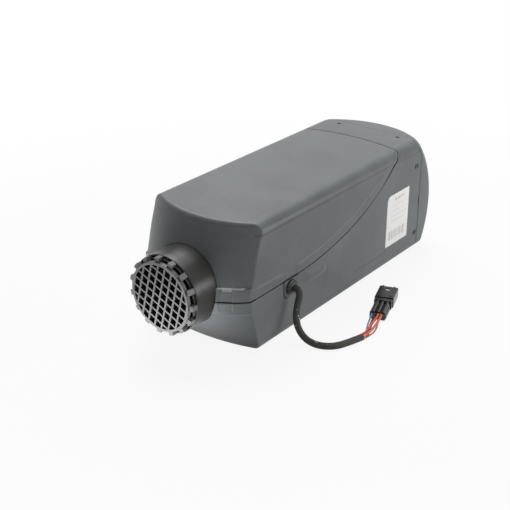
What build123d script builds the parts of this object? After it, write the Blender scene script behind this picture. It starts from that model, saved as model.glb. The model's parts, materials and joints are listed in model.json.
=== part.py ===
"""Diesel air heater: moulded casing, warm-air outlet, finned heat exchanger, blower train and harness.

Row frame, in millimetres: +Y runs from the warm-air outlet to the intake, +X is the harness side and
+Z is up. The origin is the centre of the foot, on the plane where its gasket meets the plate that
carries the heater. Every height below is a height above that plane.
"""
from build123d import *
from functools import cache
from math import atan2, cos, degrees, hypot, pi, radians, sin, sqrt, tan
import os

# ---------------------------------------------------------------- driving dimensions, casing
gasket_thickness = 2.0
casing_height = 140.0
casing_half_width = 72.0
wall = 2.5
top_corner_radius = 11.5
bottom_corner_radius = 7.0
upright_edge_radius = 4.0        # front corners, seen from above
crown_radius = 4.5               # where the front and rear faces turn into the top and the bottom
parting_gap = 0.5                # seam between two shells
slip = 0.3                       # clearance of a lip or a snapped part
blank_spare = 0.02               # each blank of the casing's form stands this far clear of the one before

seam_rise = 62.3                 # seam above the casing's underside, along the front and the sides
band_below = 14.3                # thicker belt along the seam, its reach below and above
band_above = 13.7
band_step = 2.4                  # ledge where the belt stands out of the front face
side_belt_proud = 0.8
side_belt_height = 12.0
pocket_x = 52.0                  # recesses for the cover's tabs: place, size, and reach above the seam
pocket_width = 12.0
pocket_low = 2.5
pocket_high = 11.5
pocket_depth = 1.2

front_top_y = -177.0             # front face on the centre line, at the top, seam and underside
front_seam_y = -207.0
front_bottom_y = -173.0
front_top_radius = 118.6         # and its radius seen from above
front_seam_radius = 96.5
front_bottom_radius = 222.0

seam_arc_start_y = -111.0        # the side seam leaves the level here and sweeps up to the top
seam_arc_mid = (11.4, 18.7)      # y, and rise above the level seam
seam_arc_end_y = 98.5
seam_arc_end_drop = 10.0         # below the top face
top_seam_bow = 9.0

latch_slots = ((146.0, 108.0), (151.0, 19.0))   # pairs of small slots ahead of the cap: y, rise
latch_slot_pitch = 4.2
latch_slot_width = 1.8

cap_seam_y = 158.5
rear_mid_y = 201.4               # rear face on the centre line at its fullest height
rear_full_rise = 55.2
rear_centre_radius = 201.0       # that face's radius seen from the side, at the centre
rear_corner_y = 190.4            # and the same at the side walls
rear_corner_profile = 108.0
rear_upright_radius = 9.0
rear_steps = 12                  # heights at which the domed rear face is drawn
intake_rings = 4
intake_inner_radius = 12.0
intake_ring_pitch = 9.5
intake_slot = 6.0                # radial width of a curved intake slot
intake_spokes = 12
intake_spoke_width = 2.8

lip_depth = 4.0
cap_tongue = 6.0                 # the cap's tongue reaches this far into the casing
lip_thickness = 1.6

# ---------------------------------------------------------------- driving dimensions, outlet
axis_rise = 68.0                 # outlet, heat exchanger and rotor axis above the underside
collar_radius = 42.7
collar_wall = 2.7
collar_mouth_y = -222.0
collar_free_length = 14.0        # the duct goes this far over the collar, up to the front of the casing
collar_draft = 0.6               # the collar is this much thicker at its flange
collar_flange_radius = 47.0
collar_flange_y = -181.0
collar_flange_thickness = 3.0
collar_rear_y = -172.0
saddle_thickness = 2.0

grille_face_radius = 37.6
grille_rim = 2.6
grille_face_y = -231.0
grille_depth = 4.6
grille_bar = 1.9
grille_pitch = 8.8
grille_angles = (-24.0, 76.0)    # the two families of bars, from level
grille_teeth = 15
grille_tooth_turn = -1.0         # the first tooth, from level
grille_tooth_width = 5.6
grille_tooth_y = -229.2
grille_tooth_step = 0.5          # the teeth stand this far inside the collar's outside
grille_spigot_wall = 1.8
grille_spigot_depth = 9.0
grille_spigot_lead = 1.2         # the spigot's end stands this far out of the collar's mouth

# ---------------------------------------------------------------- driving dimensions, ports
port_y = -107.5
port_width = 23.5
port_depth = 20.0                # below the seam
port_corner_radius = 7.0
port_proud = 0.6
grommet_flange_radius = 8.6
grommet_flange = 2.6
grommet_nose_radius = 6.4
grommet_length = 4.4
grommet_drop = 9.6               # its centre below the seam

# ---------------------------------------------------------------- driving dimensions, burner end
exchanger_radius = 38.0
exchanger_wall = 5.0
exchanger_front_y = -150.0
exchanger_rear_y = 12.0
fin_radius = 57.0
fin_thickness = 2.4
fin_count = 26
fin_front_y = -144.0
fin_rear_y = -20.0
flange_radius = 50.0
flange_thickness = 8.0
foot_length = 104.0              # along Y
foot_width = 84.0
foot_flange_margin = 7.0
foot_flange_thickness = 5.0
foot_corner_radius = 8.0
pedestal_width = 56.0
pedestal_front_y = -46.0

stud_radius = 3.0
stud_spacing_x = 60.0
stud_spacing_y = 88.0
stud_reach = 28.0                # below the plate's face
root_step = 0.8                  # studs and stubs are this much thicker where the foot grips them
exhaust_radius = 12.0
exhaust_x = 14.0
exhaust_y = -24.0
exhaust_reach = 38.0
intake_radius = 12.5
intake_x = 0.0
intake_y = 31.0
intake_reach = 38.0
stub_wall = 1.5
fuel_pipe_radius = 2.5
fuel_pipe_x = -18.0
fuel_pipe_y = -6.0
fuel_pipe_reach = 34.0
fuel_ferrule_radius = 4.0

burner_radius = 28.0
burner_wall = 1.5
burner_front_y = -112.0
burner_flange_thickness = 3.0
burner_gasket_thickness = 1.5

glow_plug_y = -7.0
glow_boss_radius = 9.0
sensor_y = -118.0

# ---------------------------------------------------------------- driving dimensions, blower end
blower_radius = 50.0
blower_length = 30.0
blower_wall = 3.5
blower_plate = 4.0
impeller_radius = 42.0
impeller_blades = 14
impeller_disc = 2.0
impeller_blade_height = 12.0
shaft_radius = 4.0
shaft_clearance = 0.05
bearing_radius = 9.5
bearing_width = 6.0
motor_radius = 32.0
motor_length = 50.0
motor_wall = 2.0
magnet_thickness = 5.0
rotor_radius = 21.0
fan_radius = 51.0
fan_hub_radius = 19.0
fan_blades = 7
fan_depth = 22.0
fan_gap = 12.0                   # motor end cap to fan
fan_duct_gap = 2.2
fan_duct_wall = 2.6
baffle_thickness = 2.5

ecu_half_width = 38.0
ecu_length = 78.0
ecu_height = 13.0
ecu_wall = 2.0
ecu_lid = 2.2
ecu_front_y = 14.0
ecu_headroom = 2.2               # lid to the cover's inside

# ---------------------------------------------------------------- driving dimensions, harness
sleeve_radius = 3.7
floor_clear = 0.1
inner_harness_radius = 2.5       # the wires run on inside the casing without their sleeve
thick_wire_radius = 1.4
thin_wire_radius = 0.9
plug_yaw = 19.0
plug_x, plug_y = 121.8, 2.3      # centre of the shroud's rear face
shroud_size = (21.6, 26.0, 12.5)     # width, length, height
barrel_size = (16.8, 34.0, 9.6)
inner_lead_radius = 1.3

# ---------------------------------------------------------------- worked out from them
casing_bottom = gasket_thickness
casing_top = casing_bottom + casing_height
seam_z = casing_bottom + seam_rise
axis_z = casing_bottom + axis_rise
collar_bore = collar_radius - collar_wall
floor_z = casing_bottom + wall
FAR = 400.0                      # reach of a cutting solid, past every part


def at(x=0.0, y=0.0, z=0.0):
    return Location((x, y, z))


def along_y(radius, y0, y1, x=0.0, z=None):
    """Cylinder about an axis parallel to Y."""
    height = axis_z if z is None else z
    return at(x, (y0 + y1) / 2, height) * Rot(X=90) * Cylinder(radius, abs(y1 - y0))


def along_x(radius, x0, x1, y, z):
    return at((x0 + x1) / 2, y, z) * Rot(Y=90) * Cylinder(radius, abs(x1 - x0))


def upright(radius, z0, z1, x=0.0, y=0.0):
    return at(x, y, (z0 + z1) / 2) * Cylinder(radius, z1 - z0)


def block(x0, x1, y0, y1, z0, z1):
    return at((x0 + x1) / 2, (y0 + y1) / 2, (z0 + z1) / 2) * Box(x1 - x0, y1 - y0, z1 - z0)


def rounded_slab(width, length, z0, z1, radius):
    return extrude(Plane.XY.offset(z0) * RectangleRounded(width, length, radius), z1 - z0)


def save(name, shape):
    """Write one node, as one solid or a group of separate solids."""
    solids = shape.solids()
    body = solids[0] if len(solids) == 1 else Compound(children=list(solids))
    export_step(body, f"parts/{name}.step")
    print(f"{name:24s} solids {len(solids):2d}  volume {sum(s.volume for s in solids) / 1000:9.2f} cm3")


# ================================================================ casing forms
def bowed(centre_y, radius, half_width):
    """Y of a bowed face at a distance from the centre line, with the bow's middle towards -Y."""
    return centre_y + radius - sqrt(radius ** 2 - half_width ** 2)


def front_rows():
    """Front face, from the underside up: height, y at the centre line, y at the side wall."""
    half = casing_half_width
    seam_side = bowed(front_seam_y, front_seam_radius, half)
    return [
        (0.0, front_bottom_y, bowed(front_bottom_y, front_bottom_radius, half)),
        (seam_rise - band_below - 1.5, front_seam_y + 3.6, seam_side + 2.4),
        (seam_rise - band_below, front_seam_y + 1.6, seam_side + 0.8),
        (seam_rise, front_seam_y, seam_side),
        (seam_rise + band_above, front_seam_y + 2.2, seam_side + 1.0),
        (seam_rise + band_above + 1.4, front_seam_y + 2.4 + band_step, seam_side + 1.4 + band_step),
        (casing_height, front_top_y, bowed(front_top_y, front_top_radius, half)),
    ]


def rear_rows():
    """Rear face, from the underside up: the cap is domed both ways."""
    rows = []
    for step in range(rear_steps + 1):
        rise = casing_height * step / rear_steps
        off = rise - rear_full_rise
        centre = rear_mid_y - rear_centre_radius + sqrt(rear_centre_radius ** 2 - off ** 2)
        side = rear_corner_y - rear_corner_profile + sqrt(rear_corner_profile ** 2 - off ** 2)
        rows.append((rise, centre, side))
    return rows


def row_at(rows, rise):
    """Straight-line reading between the rows of a face."""
    for low, high in zip(rows, rows[1:]):
        if rise <= high[0]:
            share = (rise - low[0]) / (high[0] - low[0])
            return tuple(a + share * (b - a) for a, b in zip(low, high))
    return rows[-1]


def levels(rows, inset, spare):
    """Heights of the sections of a form, each with the extra inset that rounds its two ends."""
    steps = [(crown_radius * (1 - sin(radians(a))), crown_radius * (1 - cos(radians(a)))) for a in (90, 55, 25, 0)]
    low, high = inset - spare, casing_height - inset + spare
    if inset > 0:
        inner = [r[0] for r in rows if low < r[0] < high]
        return [(h, inset) for h in [low] + inner + [high]]
    ends = [(low + h, inset + d) for h, d in steps]
    crown = [(high - h, inset + d) for h, d in reversed(steps)]
    inner = [(r[0], inset) for r in rows if ends[-1][0] + 1 < r[0] < crown[0][0] - 1]
    return ends + inner + crown


def face_section(rows, rise, inset, half, z, far_y, corner, sign):
    """Closed outline at one height: a bowed end face with rounded corners, and straight walls."""
    _, centre, side = row_at(rows, min(max(rise, 0.0), casing_height))
    sag = abs(side - centre)
    radius = (casing_half_width ** 2 + sag ** 2) / (2 * sag)
    middle = centre - sign * radius
    bow = radius - inset
    corner = max(corner - inset, 0.6)
    cx = half - corner
    cy = middle + sign * sqrt((bow - corner) ** 2 - cx ** 2)
    length = hypot(cx, cy - middle)
    ux, uy = cx / length, (cy - middle) / length
    hx, hy = 1 + ux, uy
    norm = hypot(hx, hy)
    join = (ux * bow, middle + uy * bow)
    mid = (cx + corner * hx / norm, cy + corner * hy / norm)
    peak = (0, middle + sign * bow)
    return Wire([
        Line((half, far_y, z), (half, cy, z)),
        ThreePointArc((half, cy, z), (*mid, z), (*join, z)),
        ThreePointArc((*join, z), (*peak, z), (-join[0], join[1], z)),
        ThreePointArc((-join[0], join[1], z), (-mid[0], mid[1], z), (-half, cy, z)),
        Line((-half, cy, z), (-half, far_y, z)),
        Line((-half, far_y, z), (half, far_y, z)),
    ])


def end_blank(rows, inset, far_y, corner, sign, spare):
    """Block with one shaped end face; the other end runs well past the casing."""
    sections = []
    for rise, extra in levels(rows, inset, spare):
        half = casing_half_width - extra + spare
        sections.append(face_section(rows, rise, extra, half, casing_bottom + rise, far_y, corner, sign))
    return Solid.make_loft(sections, True)


def section_prism(inset, spare=0.0):
    """The casing's cross-section, run along Y: rounded shoulders and rounded bottom edges."""
    half = casing_half_width - inset + spare
    low, high = casing_bottom + inset - spare, casing_top - inset + spare
    top_r = max(top_corner_radius - inset, 1.0)
    low_r = max(bottom_corner_radius - inset, 1.0)
    outline = make_face(Polyline((-half, low), (half, low), (half, high), (-half, high), close=True))
    face = fillet([v for v in outline.vertices() if v.Y > axis_z], top_r)
    face = fillet([v for v in face.vertices() if v.Y < low + 0.01], low_r)
    return Rot(X=90) * extrude(face, FAR, both=True)


@cache
def casing_form(inset):
    """The whole casing as one body, offset inwards: bowed front, domed rear, rounded section."""
    front = end_blank(front_rows(), inset, FAR / 2 + 40, upright_edge_radius, -1, 0.0)
    rear = end_blank(rear_rows(), inset, -FAR / 2 - 40, rear_upright_radius, 1, blank_spare)
    return front & rear & section_prism(inset, 2 * blank_spare)


def between(y0, y1):
    """Everything from one place along the casing to another."""
    return block(-FAR, FAR, y0, y1, -FAR, FAR)


def layer(outer, inner):
    """Shell of the casing between two insets."""
    return casing_form(outer) - casing_form(inner)


# ================================================================ seams
def seam_curve():
    """Side seam in the YZ plane: level, then two arcs that sweep up to the shoulder."""
    start = (seam_arc_start_y, seam_z)
    middle = (seam_arc_mid[0], seam_z + seam_arc_mid[1])
    end = (seam_arc_end_y, casing_top - seam_arc_end_drop)
    first = TangentArc(start, middle, tangent=(1, 0))
    second = TangentArc(middle, end, tangent=(first % 1).to_tuple()[:2])
    return first, second


def top_seam_y():
    """Y where the side seam reaches the top face."""
    _, second = seam_curve()
    heading = second % 1
    return seam_arc_end_y + seam_arc_end_drop * heading.X / heading.Y


def cover_region():
    """Everything that belongs to the upper cover: above the side seam, ahead of the top seam."""
    first, second = seam_curve()
    top_y = top_seam_y()
    past = (top_y + (FAR / 4) * (top_y - seam_arc_end_y) / seam_arc_end_drop, casing_top + FAR / 4)
    outline = make_face([
        Line((-FAR, seam_z), first @ 0),
        first,
        second,
        Line(second @ 1, past),
        Line(past, (-FAR, past[1])),
        Line((-FAR, past[1]), (-FAR, seam_z)),
    ])
    side = extrude(Plane.YZ * outline, FAR / 2, both=True)
    half = casing_half_width - top_corner_radius
    bow = make_face([
        Line((-half, 0), (half, 0)),
        Line((half, 0), (half, top_y)),
        ThreePointArc((half, top_y), (0, top_y + top_seam_bow), (-half, top_y)),
        Line((-half, top_y), (-half, 0)),
    ])
    sliver = extrude(Plane.XY.offset(casing_top - wall - 1.5) * bow, FAR / 8)
    return side + sliver


def port_blank(grow, x0, x1):
    """U-shaped port below the seam; grow is the clearance round the insert."""
    half = port_width / 2 + grow
    low = seam_z - port_depth - grow
    outline = make_face(Polyline((port_y - half, low), (port_y + half, low), (port_y + half, seam_z + FAR / 8),
                                 (port_y - half, seam_z + FAR / 8), close=True))
    face = fillet([v for v in outline.vertices() if v.Y < low + 0.01], port_corner_radius)
    return at(x0, 0, 0) * extrude(Plane.YZ * face, x1 - x0)


# ================================================================ casing
def snap_pockets(skin):
    """Recesses in the belt, either side of the collar, where the cover's tabs are levered free."""
    shell_band = layer(-2.0, pocket_depth)
    pockets = None
    for side in (-1, 1):
        cut = block(side * pocket_x - pocket_width / 2, side * pocket_x + pocket_width / 2, -FAR, -150,
                    seam_z + pocket_low, seam_z + pocket_high)
        piece = shell_band & cut
        pockets = piece if pockets is None else pockets + piece
    return skin - pockets


def side_belt(region):
    """Slightly raised belt on the cover, along the side seam, broken above the two ports."""
    belt = layer(-side_belt_proud, wall / 2)
    strip = region - at(0, -side_belt_height * 0.45, side_belt_height) * region
    sides = block(-FAR / 2, FAR / 2, -168, top_seam_y() - 26, 0, casing_top - top_corner_radius - 6)
    keep = belt & strip & sides
    keep -= block(-casing_half_width + 6, casing_half_width - 6, -FAR, FAR, 0, FAR)
    return keep - block(-FAR / 2, FAR / 2, port_y - port_width / 2 - 2, port_y + port_width / 2, 0, FAR)


def collar_passage(clearance):
    """Round hole below the collar's middle, straight sides above the seam so the cover lifts."""
    radius = collar_radius + collar_draft + clearance
    hole = along_y(radius, -FAR, -150)
    return hole + block(-radius, radius, -FAR, -150, seam_z - 8, axis_z)


def make_upper_cover(skin, region):
    cover = (skin & region) + side_belt(region)
    cover = snap_pockets(cover)
    cover -= collar_passage(parting_gap)
    for side in (-1, 1):
        rib = block(side * 40 - 1.2, side * 40 + 1.2, -FAR, -100, casing_top - 14, FAR)
        cover += rib & casing_form(wall - 0.4) & region
    return cover


def make_lower_shell(skin, region):
    cut = region + at(0, parting_gap * 0.6, -parting_gap) * region
    shell = (skin & between(-FAR, cap_seam_y - parting_gap / 2)) - cut
    tongue = layer(wall + slip, wall + slip + lip_thickness)
    root = layer(wall - 0.6, wall + slip + lip_thickness)
    above = region - at(0, -lip_depth * 0.5, lip_depth) * region
    below = (at(0, lip_depth * 0.3, -lip_depth) * region) - cut
    keep = between(-FAR, cap_seam_y - 8)
    gap_zone = cut - region
    shell += ((tongue & (above + gap_zone)) + (root & below)) & keep

    for y in (collar_flange_y - slip - saddle_thickness, collar_flange_y + collar_flange_thickness + slip):
        saddle = block(-FAR, FAR, y, y + saddle_thickness, 0, seam_z - lip_depth - 2)
        shell += saddle & casing_form(wall - 0.5)
    shell -= along_y(collar_radius + collar_draft + slip, -FAR, collar_rear_y + 6)
    shell -= along_y(collar_flange_radius + slip, collar_flange_y - slip,
                     collar_flange_y + collar_flange_thickness + slip)

    shell -= rounded_slab(foot_width + 1, foot_length + 1, 0, floor_z + 1, foot_corner_radius)
    for side in (-1, 1):
        inner = side * (casing_half_width - 12)
        outer = side * (casing_half_width + 8)
        shell -= port_blank(slip, min(inner, outer), max(inner, outer))
        for y, rise in latch_slots:
            for shift in (0.0, latch_slot_pitch):
                slot = block(-1, 1, y + shift - latch_slot_width / 2, y + shift + latch_slot_width / 2, rise, rise + 5)
                shell -= at(side * casing_half_width, 0, casing_bottom) * slot
        shell -= block(side * 42 - 2.2, side * 42 + 2.2, 148.5, 151, casing_top - wall - 2, FAR)
    return shell


def make_rear_cap(skin):
    """Domed intake cap: a round field of curved slots, and a tongue that enters the casing."""
    seat = wall + slip
    cap = skin & between(cap_seam_y + parting_gap / 2, FAR)
    cap += layer(wall - 0.6, seat + lip_thickness) & between(cap_seam_y + parting_gap / 2, cap_seam_y + 5)
    cap += layer(seat, seat + lip_thickness) & between(cap_seam_y - cap_tongue, cap_seam_y + 5)

    slots = []
    for ring in range(intake_rings):
        inner = intake_inner_radius + ring * intake_ring_pitch
        outer = inner + intake_slot
        count = intake_spokes if ring else intake_spokes // 2
        for index in range(count):
            blade = ring_sector(inner, outer, 360 * index / count, 360 * (index + 1) / count, intake_spoke_width)
            slots.append(at(0, cap_seam_y + 5, axis_z) * extrude(Plane.XZ * blade, -FAR / 4))
    return cap.cut(*[solid for slot in slots for solid in slot.solids()])


def ring_sector(inner, outer, start, end, spoke):
    """Face of one curved slot, short of its neighbours by the width of a spoke."""
    half = degrees(spoke / (inner + outer))
    start, end = radians(start + half), radians(end - half)
    middle = (start + end) / 2

    def place(radius, angle):
        return (radius * cos(angle), radius * sin(angle))

    return make_face([
        Line(place(inner, start), place(outer, start)),
        ThreePointArc(place(outer, start), place(outer, middle), place(outer, end)),
        Line(place(outer, end), place(inner, end)),
        ThreePointArc(place(inner, end), place(inner, middle), place(inner, start)),
    ])


def make_port_insert(side, with_hole):
    """U-shaped insert that fills a port, flush with the seam."""
    face = casing_half_width + port_proud
    inner = casing_half_width - wall
    plug = port_blank(0, inner, face)
    flange = port_blank(2.2, inner - 1.5, inner - 0.1)
    insert = plug + port_blank(0, inner - 1.5, face) + flange
    insert &= block(0, FAR, -FAR, FAR, 0, seam_z - parting_gap)
    insert -= tongue_room()
    if with_hole:
        insert -= along_x(grommet_neck(), inner - 4, face + 4, port_y, grommet_z())
    return insert if side > 0 else mirror(insert, about=Plane.YZ)


def tongue_room():
    """Room above an insert's flange for the shell's tongue."""
    low = seam_z - lip_depth - 1.5
    return block(0, casing_half_width - wall + 0.05, port_y - FAR / 8, port_y + FAR / 8, low, FAR)


def grommet_z():
    return seam_z - grommet_drop


def grommet_neck():
    return grommet_nose_radius - 0.4


def grommet_nose_x():
    return casing_half_width + port_proud + grommet_length


def make_grommet():
    """Rubber grommet: flange on the insert, rounded nose, neck through the hole, inner bead."""
    face = casing_half_width + port_proud
    inner = casing_half_width - wall
    flange = along_x(grommet_flange_radius, face, face + grommet_flange, port_y, grommet_z())
    flange = fillet(flange.edges().sort_by(Axis.X)[-1:], 1.2)
    nose = along_x(grommet_nose_radius, face, grommet_nose_x(), port_y, grommet_z())
    nose = fillet(nose.edges().sort_by(Axis.X)[-1:], 2.0)
    neck = along_x(grommet_neck(), inner - 3.5, face, port_y, grommet_z())
    bead = along_x(grommet_neck() + 0.8, inner - 3.5, inner - 1.6, port_y, grommet_z())
    return flange + nose + neck + bead


# ================================================================ outlet
def collar_draft_angle():
    return degrees(atan2(collar_draft, collar_flange_y - collar_mouth_y - collar_free_length))


def make_collar():
    """Round outlet: a straight end for the duct, a root that widens to the flange held in the casing."""
    free_end = collar_mouth_y + collar_free_length
    root = Plane(origin=(0, free_end, axis_z), z_dir=(0, 1, 0)) * Circle(collar_radius)
    root = extrude(root, collar_flange_y + 1 - free_end, taper=-collar_draft_angle())
    tube = along_y(collar_radius, collar_mouth_y, free_end) + root
    tube += along_y(collar_radius - 1, collar_flange_y, collar_rear_y)
    tube += along_y(collar_flange_radius, collar_flange_y, collar_flange_y + collar_flange_thickness)
    tube = tube - along_y(collar_bore, collar_mouth_y - 1, collar_rear_y + 1)
    mouth = [e for e in tube.edges() if e.geom_type == GeomType.CIRCLE and e.center().Y < collar_mouth_y + 0.1]
    return chamfer(mouth, 0.5)


def make_grille():
    """Round face of crossed bars, teeth that seat on the collar's end, spigot inside its bore."""
    rear = grille_face_y + grille_depth
    inner = grille_face_radius - grille_rim
    rim = along_y(grille_face_radius, grille_face_y, rear) - along_y(inner, grille_face_y - 1, rear + 1)
    disc = along_y(inner + 0.5, grille_face_y, rear)
    grille = rim
    reach = int(inner // grille_pitch) + 1
    for angle in grille_angles:
        family = None
        for step in range(-reach, reach + 1):
            bar = at(0, (grille_face_y + rear) / 2, axis_z) * Rot(Y=-angle) * at(0, 0, step * grille_pitch)
            bar = bar * Box(FAR / 4, grille_depth, grille_bar)
            family = bar if family is None else family + bar
        grille += family & disc
    spigot_radius = collar_bore - slip
    front = collar_mouth_y - grille_spigot_lead
    back = front + grille_spigot_depth
    spigot = along_y(spigot_radius, front, back) - along_y(spigot_radius - grille_spigot_wall, front - 1, back + 1)
    grille += spigot
    ring = along_y(collar_radius - grille_tooth_step, grille_tooth_y, collar_mouth_y - 0.05)
    ring -= along_y(grille_face_radius - 1.5, grille_tooth_y - 1, rear)
    ring -= along_y(spigot_radius - grille_spigot_wall, rear - 0.01, collar_mouth_y + 1)
    for index in range(grille_teeth):
        angle = 360 / grille_teeth * index + grille_tooth_turn
        arm = at(0, 0, axis_z) * Rot(Y=-angle) * at(FAR / 8, (grille_tooth_y + collar_mouth_y) / 2, 0)
        grille += ring & (arm * Box(FAR / 4, FAR / 20, grille_tooth_width))
    return grille


# ================================================================ burner end
def stud_places():
    return [(sx * stud_spacing_x / 2, sy * stud_spacing_y / 2) for sx in (-1, 1) for sy in (-1, 1)]


def foot_holes(z0, z1, clearance):
    """Every hole through the foot and its gasket."""
    holes = upright(exhaust_radius + root_step + clearance, z0, z1, exhaust_x, exhaust_y)
    holes += upright(intake_radius + root_step + clearance, z0, z1, intake_x, intake_y)
    holes += upright(fuel_ferrule_radius + clearance, z0, z1, fuel_pipe_x, fuel_pipe_y)
    for x, y in stud_places():
        holes += upright(stud_radius + root_step + clearance, z0, z1, x, y)
    return holes


def foot_top():
    return floor_z + foot_flange_thickness


def make_heat_exchanger():
    """Finned casting with its foot: the part that carries everything else."""
    body = along_y(exchanger_radius, exchanger_front_y, exchanger_rear_y)
    body = fillet(body.edges().sort_by(Axis.Y)[:1], 12)
    flange = along_y(flange_radius, exchanger_rear_y - flange_thickness, exchanger_rear_y)
    fin_length = fin_rear_y - fin_front_y
    for index in range(fin_count):
        angle = 360 / fin_count * index
        fin = at(0, (fin_front_y + fin_rear_y) / 2, axis_z) * Rot(Y=angle)
        reach = fin_radius - exchanger_radius + 4
        fin = fin * at(0, 0, exchanger_radius - 4 + reach / 2) * Box(fin_thickness, fin_length, reach)
        body += fin
    body += flange
    margin = 2 * foot_flange_margin
    body += rounded_slab(foot_width + margin, foot_length + margin, floor_z, foot_top(), foot_corner_radius)
    body += rounded_slab(foot_width, foot_length, casing_bottom, floor_z, foot_corner_radius - 0.5)
    body += block(-pedestal_width / 2, pedestal_width / 2, pedestal_front_y, exchanger_rear_y,
                  floor_z, axis_z - exchanger_radius / 2)
    body += upright(glow_boss_radius, axis_z + exchanger_radius - 6, axis_z + flange_radius, 0, glow_plug_y)
    body -= block(-9, 9, sensor_y - 12, sensor_y + 12, sensor_seat(), FAR)
    body -= block(-5, 5, sensor_y, fin_rear_y + 1, axis_z + exchanger_radius, FAR)
    body -= along_y(exchanger_radius - exchanger_wall, exchanger_front_y + 10, exchanger_rear_y + 1)
    body -= upright(exhaust_radius + root_step, 0, axis_z, exhaust_x, exhaust_y)
    body -= upright(intake_radius + root_step, 0, foot_top() + 1, intake_x, intake_y)
    body -= upright(fuel_pipe_radius + 0.1, 0, axis_z, fuel_pipe_x, fuel_pipe_y)
    body -= upright(fuel_ferrule_radius, 0, foot_top(), fuel_pipe_x, fuel_pipe_y)
    for x, y in stud_places():
        body -= upright(stud_radius + root_step, 0, foot_top() - 2, x, y)
    body -= upright(glow_plug_radius(), axis_z, FAR, 0, glow_plug_y)
    for x, z in blower_screw_places():
        body -= along_y(2.6, exchanger_rear_y - flange_thickness - 1, exchanger_rear_y + 1, x, z)
    return body


def glow_plug_radius():
    return 4.5


def blower_screw_places():
    ring = flange_radius - 5
    return [(ring * cos(radians(a)), axis_z + ring * sin(radians(a))) for a in (38, 142, 218, 322)]


def make_burner():
    """Sheet-metal combustion chamber with its flange and swirl holes."""
    flange_y = exchanger_rear_y + burner_gasket_thickness
    tube = along_y(burner_radius, burner_front_y, flange_y + 1)
    tube += along_y(flange_radius - 10, flange_y, flange_y + burner_flange_thickness)
    tube -= along_y(burner_radius - burner_wall, burner_front_y - 1, flange_y)
    tube -= along_y(9, flange_y - 1, flange_y + burner_flange_thickness + 1)
    for ring in range(3):
        for index in range(8):
            hole = at(0, -70 + ring * 14, axis_z) * Rot(Y=index * 45 + ring * 22.5) * at(0, 0, burner_radius)
            tube -= hole * Cylinder(2.2, 8)
    tube -= upright(3.0, axis_z, FAR, 0, glow_plug_y)
    tube -= upright(fuel_pipe_radius + 0.1, 0, axis_z, fuel_pipe_x, fuel_pipe_y)
    return tube


def make_burner_gasket():
    y0 = exchanger_rear_y
    ring = along_y(flange_radius - 10, y0, y0 + burner_gasket_thickness)
    return ring - along_y(burner_radius, y0 - 1, y0 + burner_gasket_thickness + 1)


def make_stub(radius, x, y, reach, top):
    """Tube for a hose, with a thicker root that is pressed into the foot and its gasket."""
    tube = upright(radius, -reach, top, x, y) + upright(radius + root_step, 0, top, x, y)
    return tube - upright(radius - stub_wall, -reach - 1, top + 1, x, y)


def make_fuel_pipe():
    top = axis_z - sqrt(burner_radius ** 2 - fuel_pipe_x ** 2) + 6
    tube = upright(fuel_pipe_radius, -fuel_pipe_reach, top, fuel_pipe_x, fuel_pipe_y)
    tube += upright(fuel_ferrule_radius, 0, foot_top(), fuel_pipe_x, fuel_pipe_y)
    return tube - upright(fuel_pipe_radius - 1.0, -fuel_pipe_reach - 1, top + 1, fuel_pipe_x, fuel_pipe_y)


def make_studs():
    """Studs, each with a thicker root that is screwed into the foot."""
    studs = []
    for x, y in stud_places():
        shank = upright(stud_radius, -stud_reach, 1, x, y)
        shank = chamfer(shank.edges().sort_by(Axis.Z)[:1], 0.6)
        studs.append(shank + upright(stud_radius + root_step, 0, foot_top() - 2, x, y))
    return Compound(children=studs)


def make_base_gasket():
    pad = rounded_slab(foot_width, foot_length, 0, gasket_thickness, foot_corner_radius - 0.5)
    return pad - foot_holes(-1, gasket_thickness + 1, 0.0)


def make_glow_plug():
    seat = axis_z + flange_radius
    pin = upright(2.4, axis_z + burner_radius - 12, seat, 0, glow_plug_y)
    body = upright(glow_plug_radius(), axis_z + exchanger_radius - exchanger_wall, seat, 0, glow_plug_y)
    hexagon = extrude(Plane.XY.offset(seat) * at(0, glow_plug_y) * RegularPolygon(6.4, 6), 4)
    stem = upright(2.0, seat, seat + 7, 0, glow_plug_y)
    return pin + body + hexagon + stem


def make_glow_boot():
    seat = axis_z + flange_radius
    boot = upright(4.6, seat + 4, seat + 12.5, 0, glow_plug_y)
    boot = fillet(boot.edges().sort_by(Axis.Z)[-1:], 1.5)
    boot += along_y(2.6, glow_plug_y, glow_plug_y + 9, 0, seat + 8.5)
    return boot - upright(2.0, seat, seat + 7, 0, glow_plug_y)


def make_glow_lead():
    height = axis_z + flange_radius + 8.5
    return along_y(inner_lead_radius, glow_plug_y + 9, ecu_front_y, 0, height)


def sensor_seat():
    return axis_z + exchanger_radius + 3


def make_sensor_pad():
    """Machined pad of the exchanger below the overheat sensor."""
    return block(-8, 8, sensor_y - 10, sensor_y + 10, axis_z + exchanger_radius - 4, sensor_seat())


def make_sensor():
    body = upright(6.0, sensor_seat(), sensor_seat() + 5, 0, sensor_y)
    body = fillet(body.edges().sort_by(Axis.Z)[-1:], 0.8)
    return body + block(-1.2, 1.2, sensor_y + 2, sensor_y + 7.5, sensor_seat() + 1.5, sensor_seat() + 3.5)


def make_sensor_clip():
    """Spring strip over the sensor, hooked under both ends of its pad."""
    low = sensor_seat()
    strip = block(-7.8, 7.8, sensor_y - 2, sensor_y + 2, low, low + 5.8)
    return strip - block(-6.8, 6.8, sensor_y - 3, sensor_y + 3, low - 1, low + 5.0)


def make_sensor_lead():
    low, high = sensor_seat() + 2.5, ecu_base_z() + ecu_height / 2
    route = [(0, sensor_y + 7.5, low), (0, sensor_y + 15, low), (1.2, sensor_y + 28, low + 1), (-0.8, -64, low + 2),
             (1.5, -42, low + 3), (6, -26, low + 7), (14, -12, high - 2), (16, 2, high), (16, ecu_front_y, high)]
    return tube_along(route, inner_lead_radius)


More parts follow.
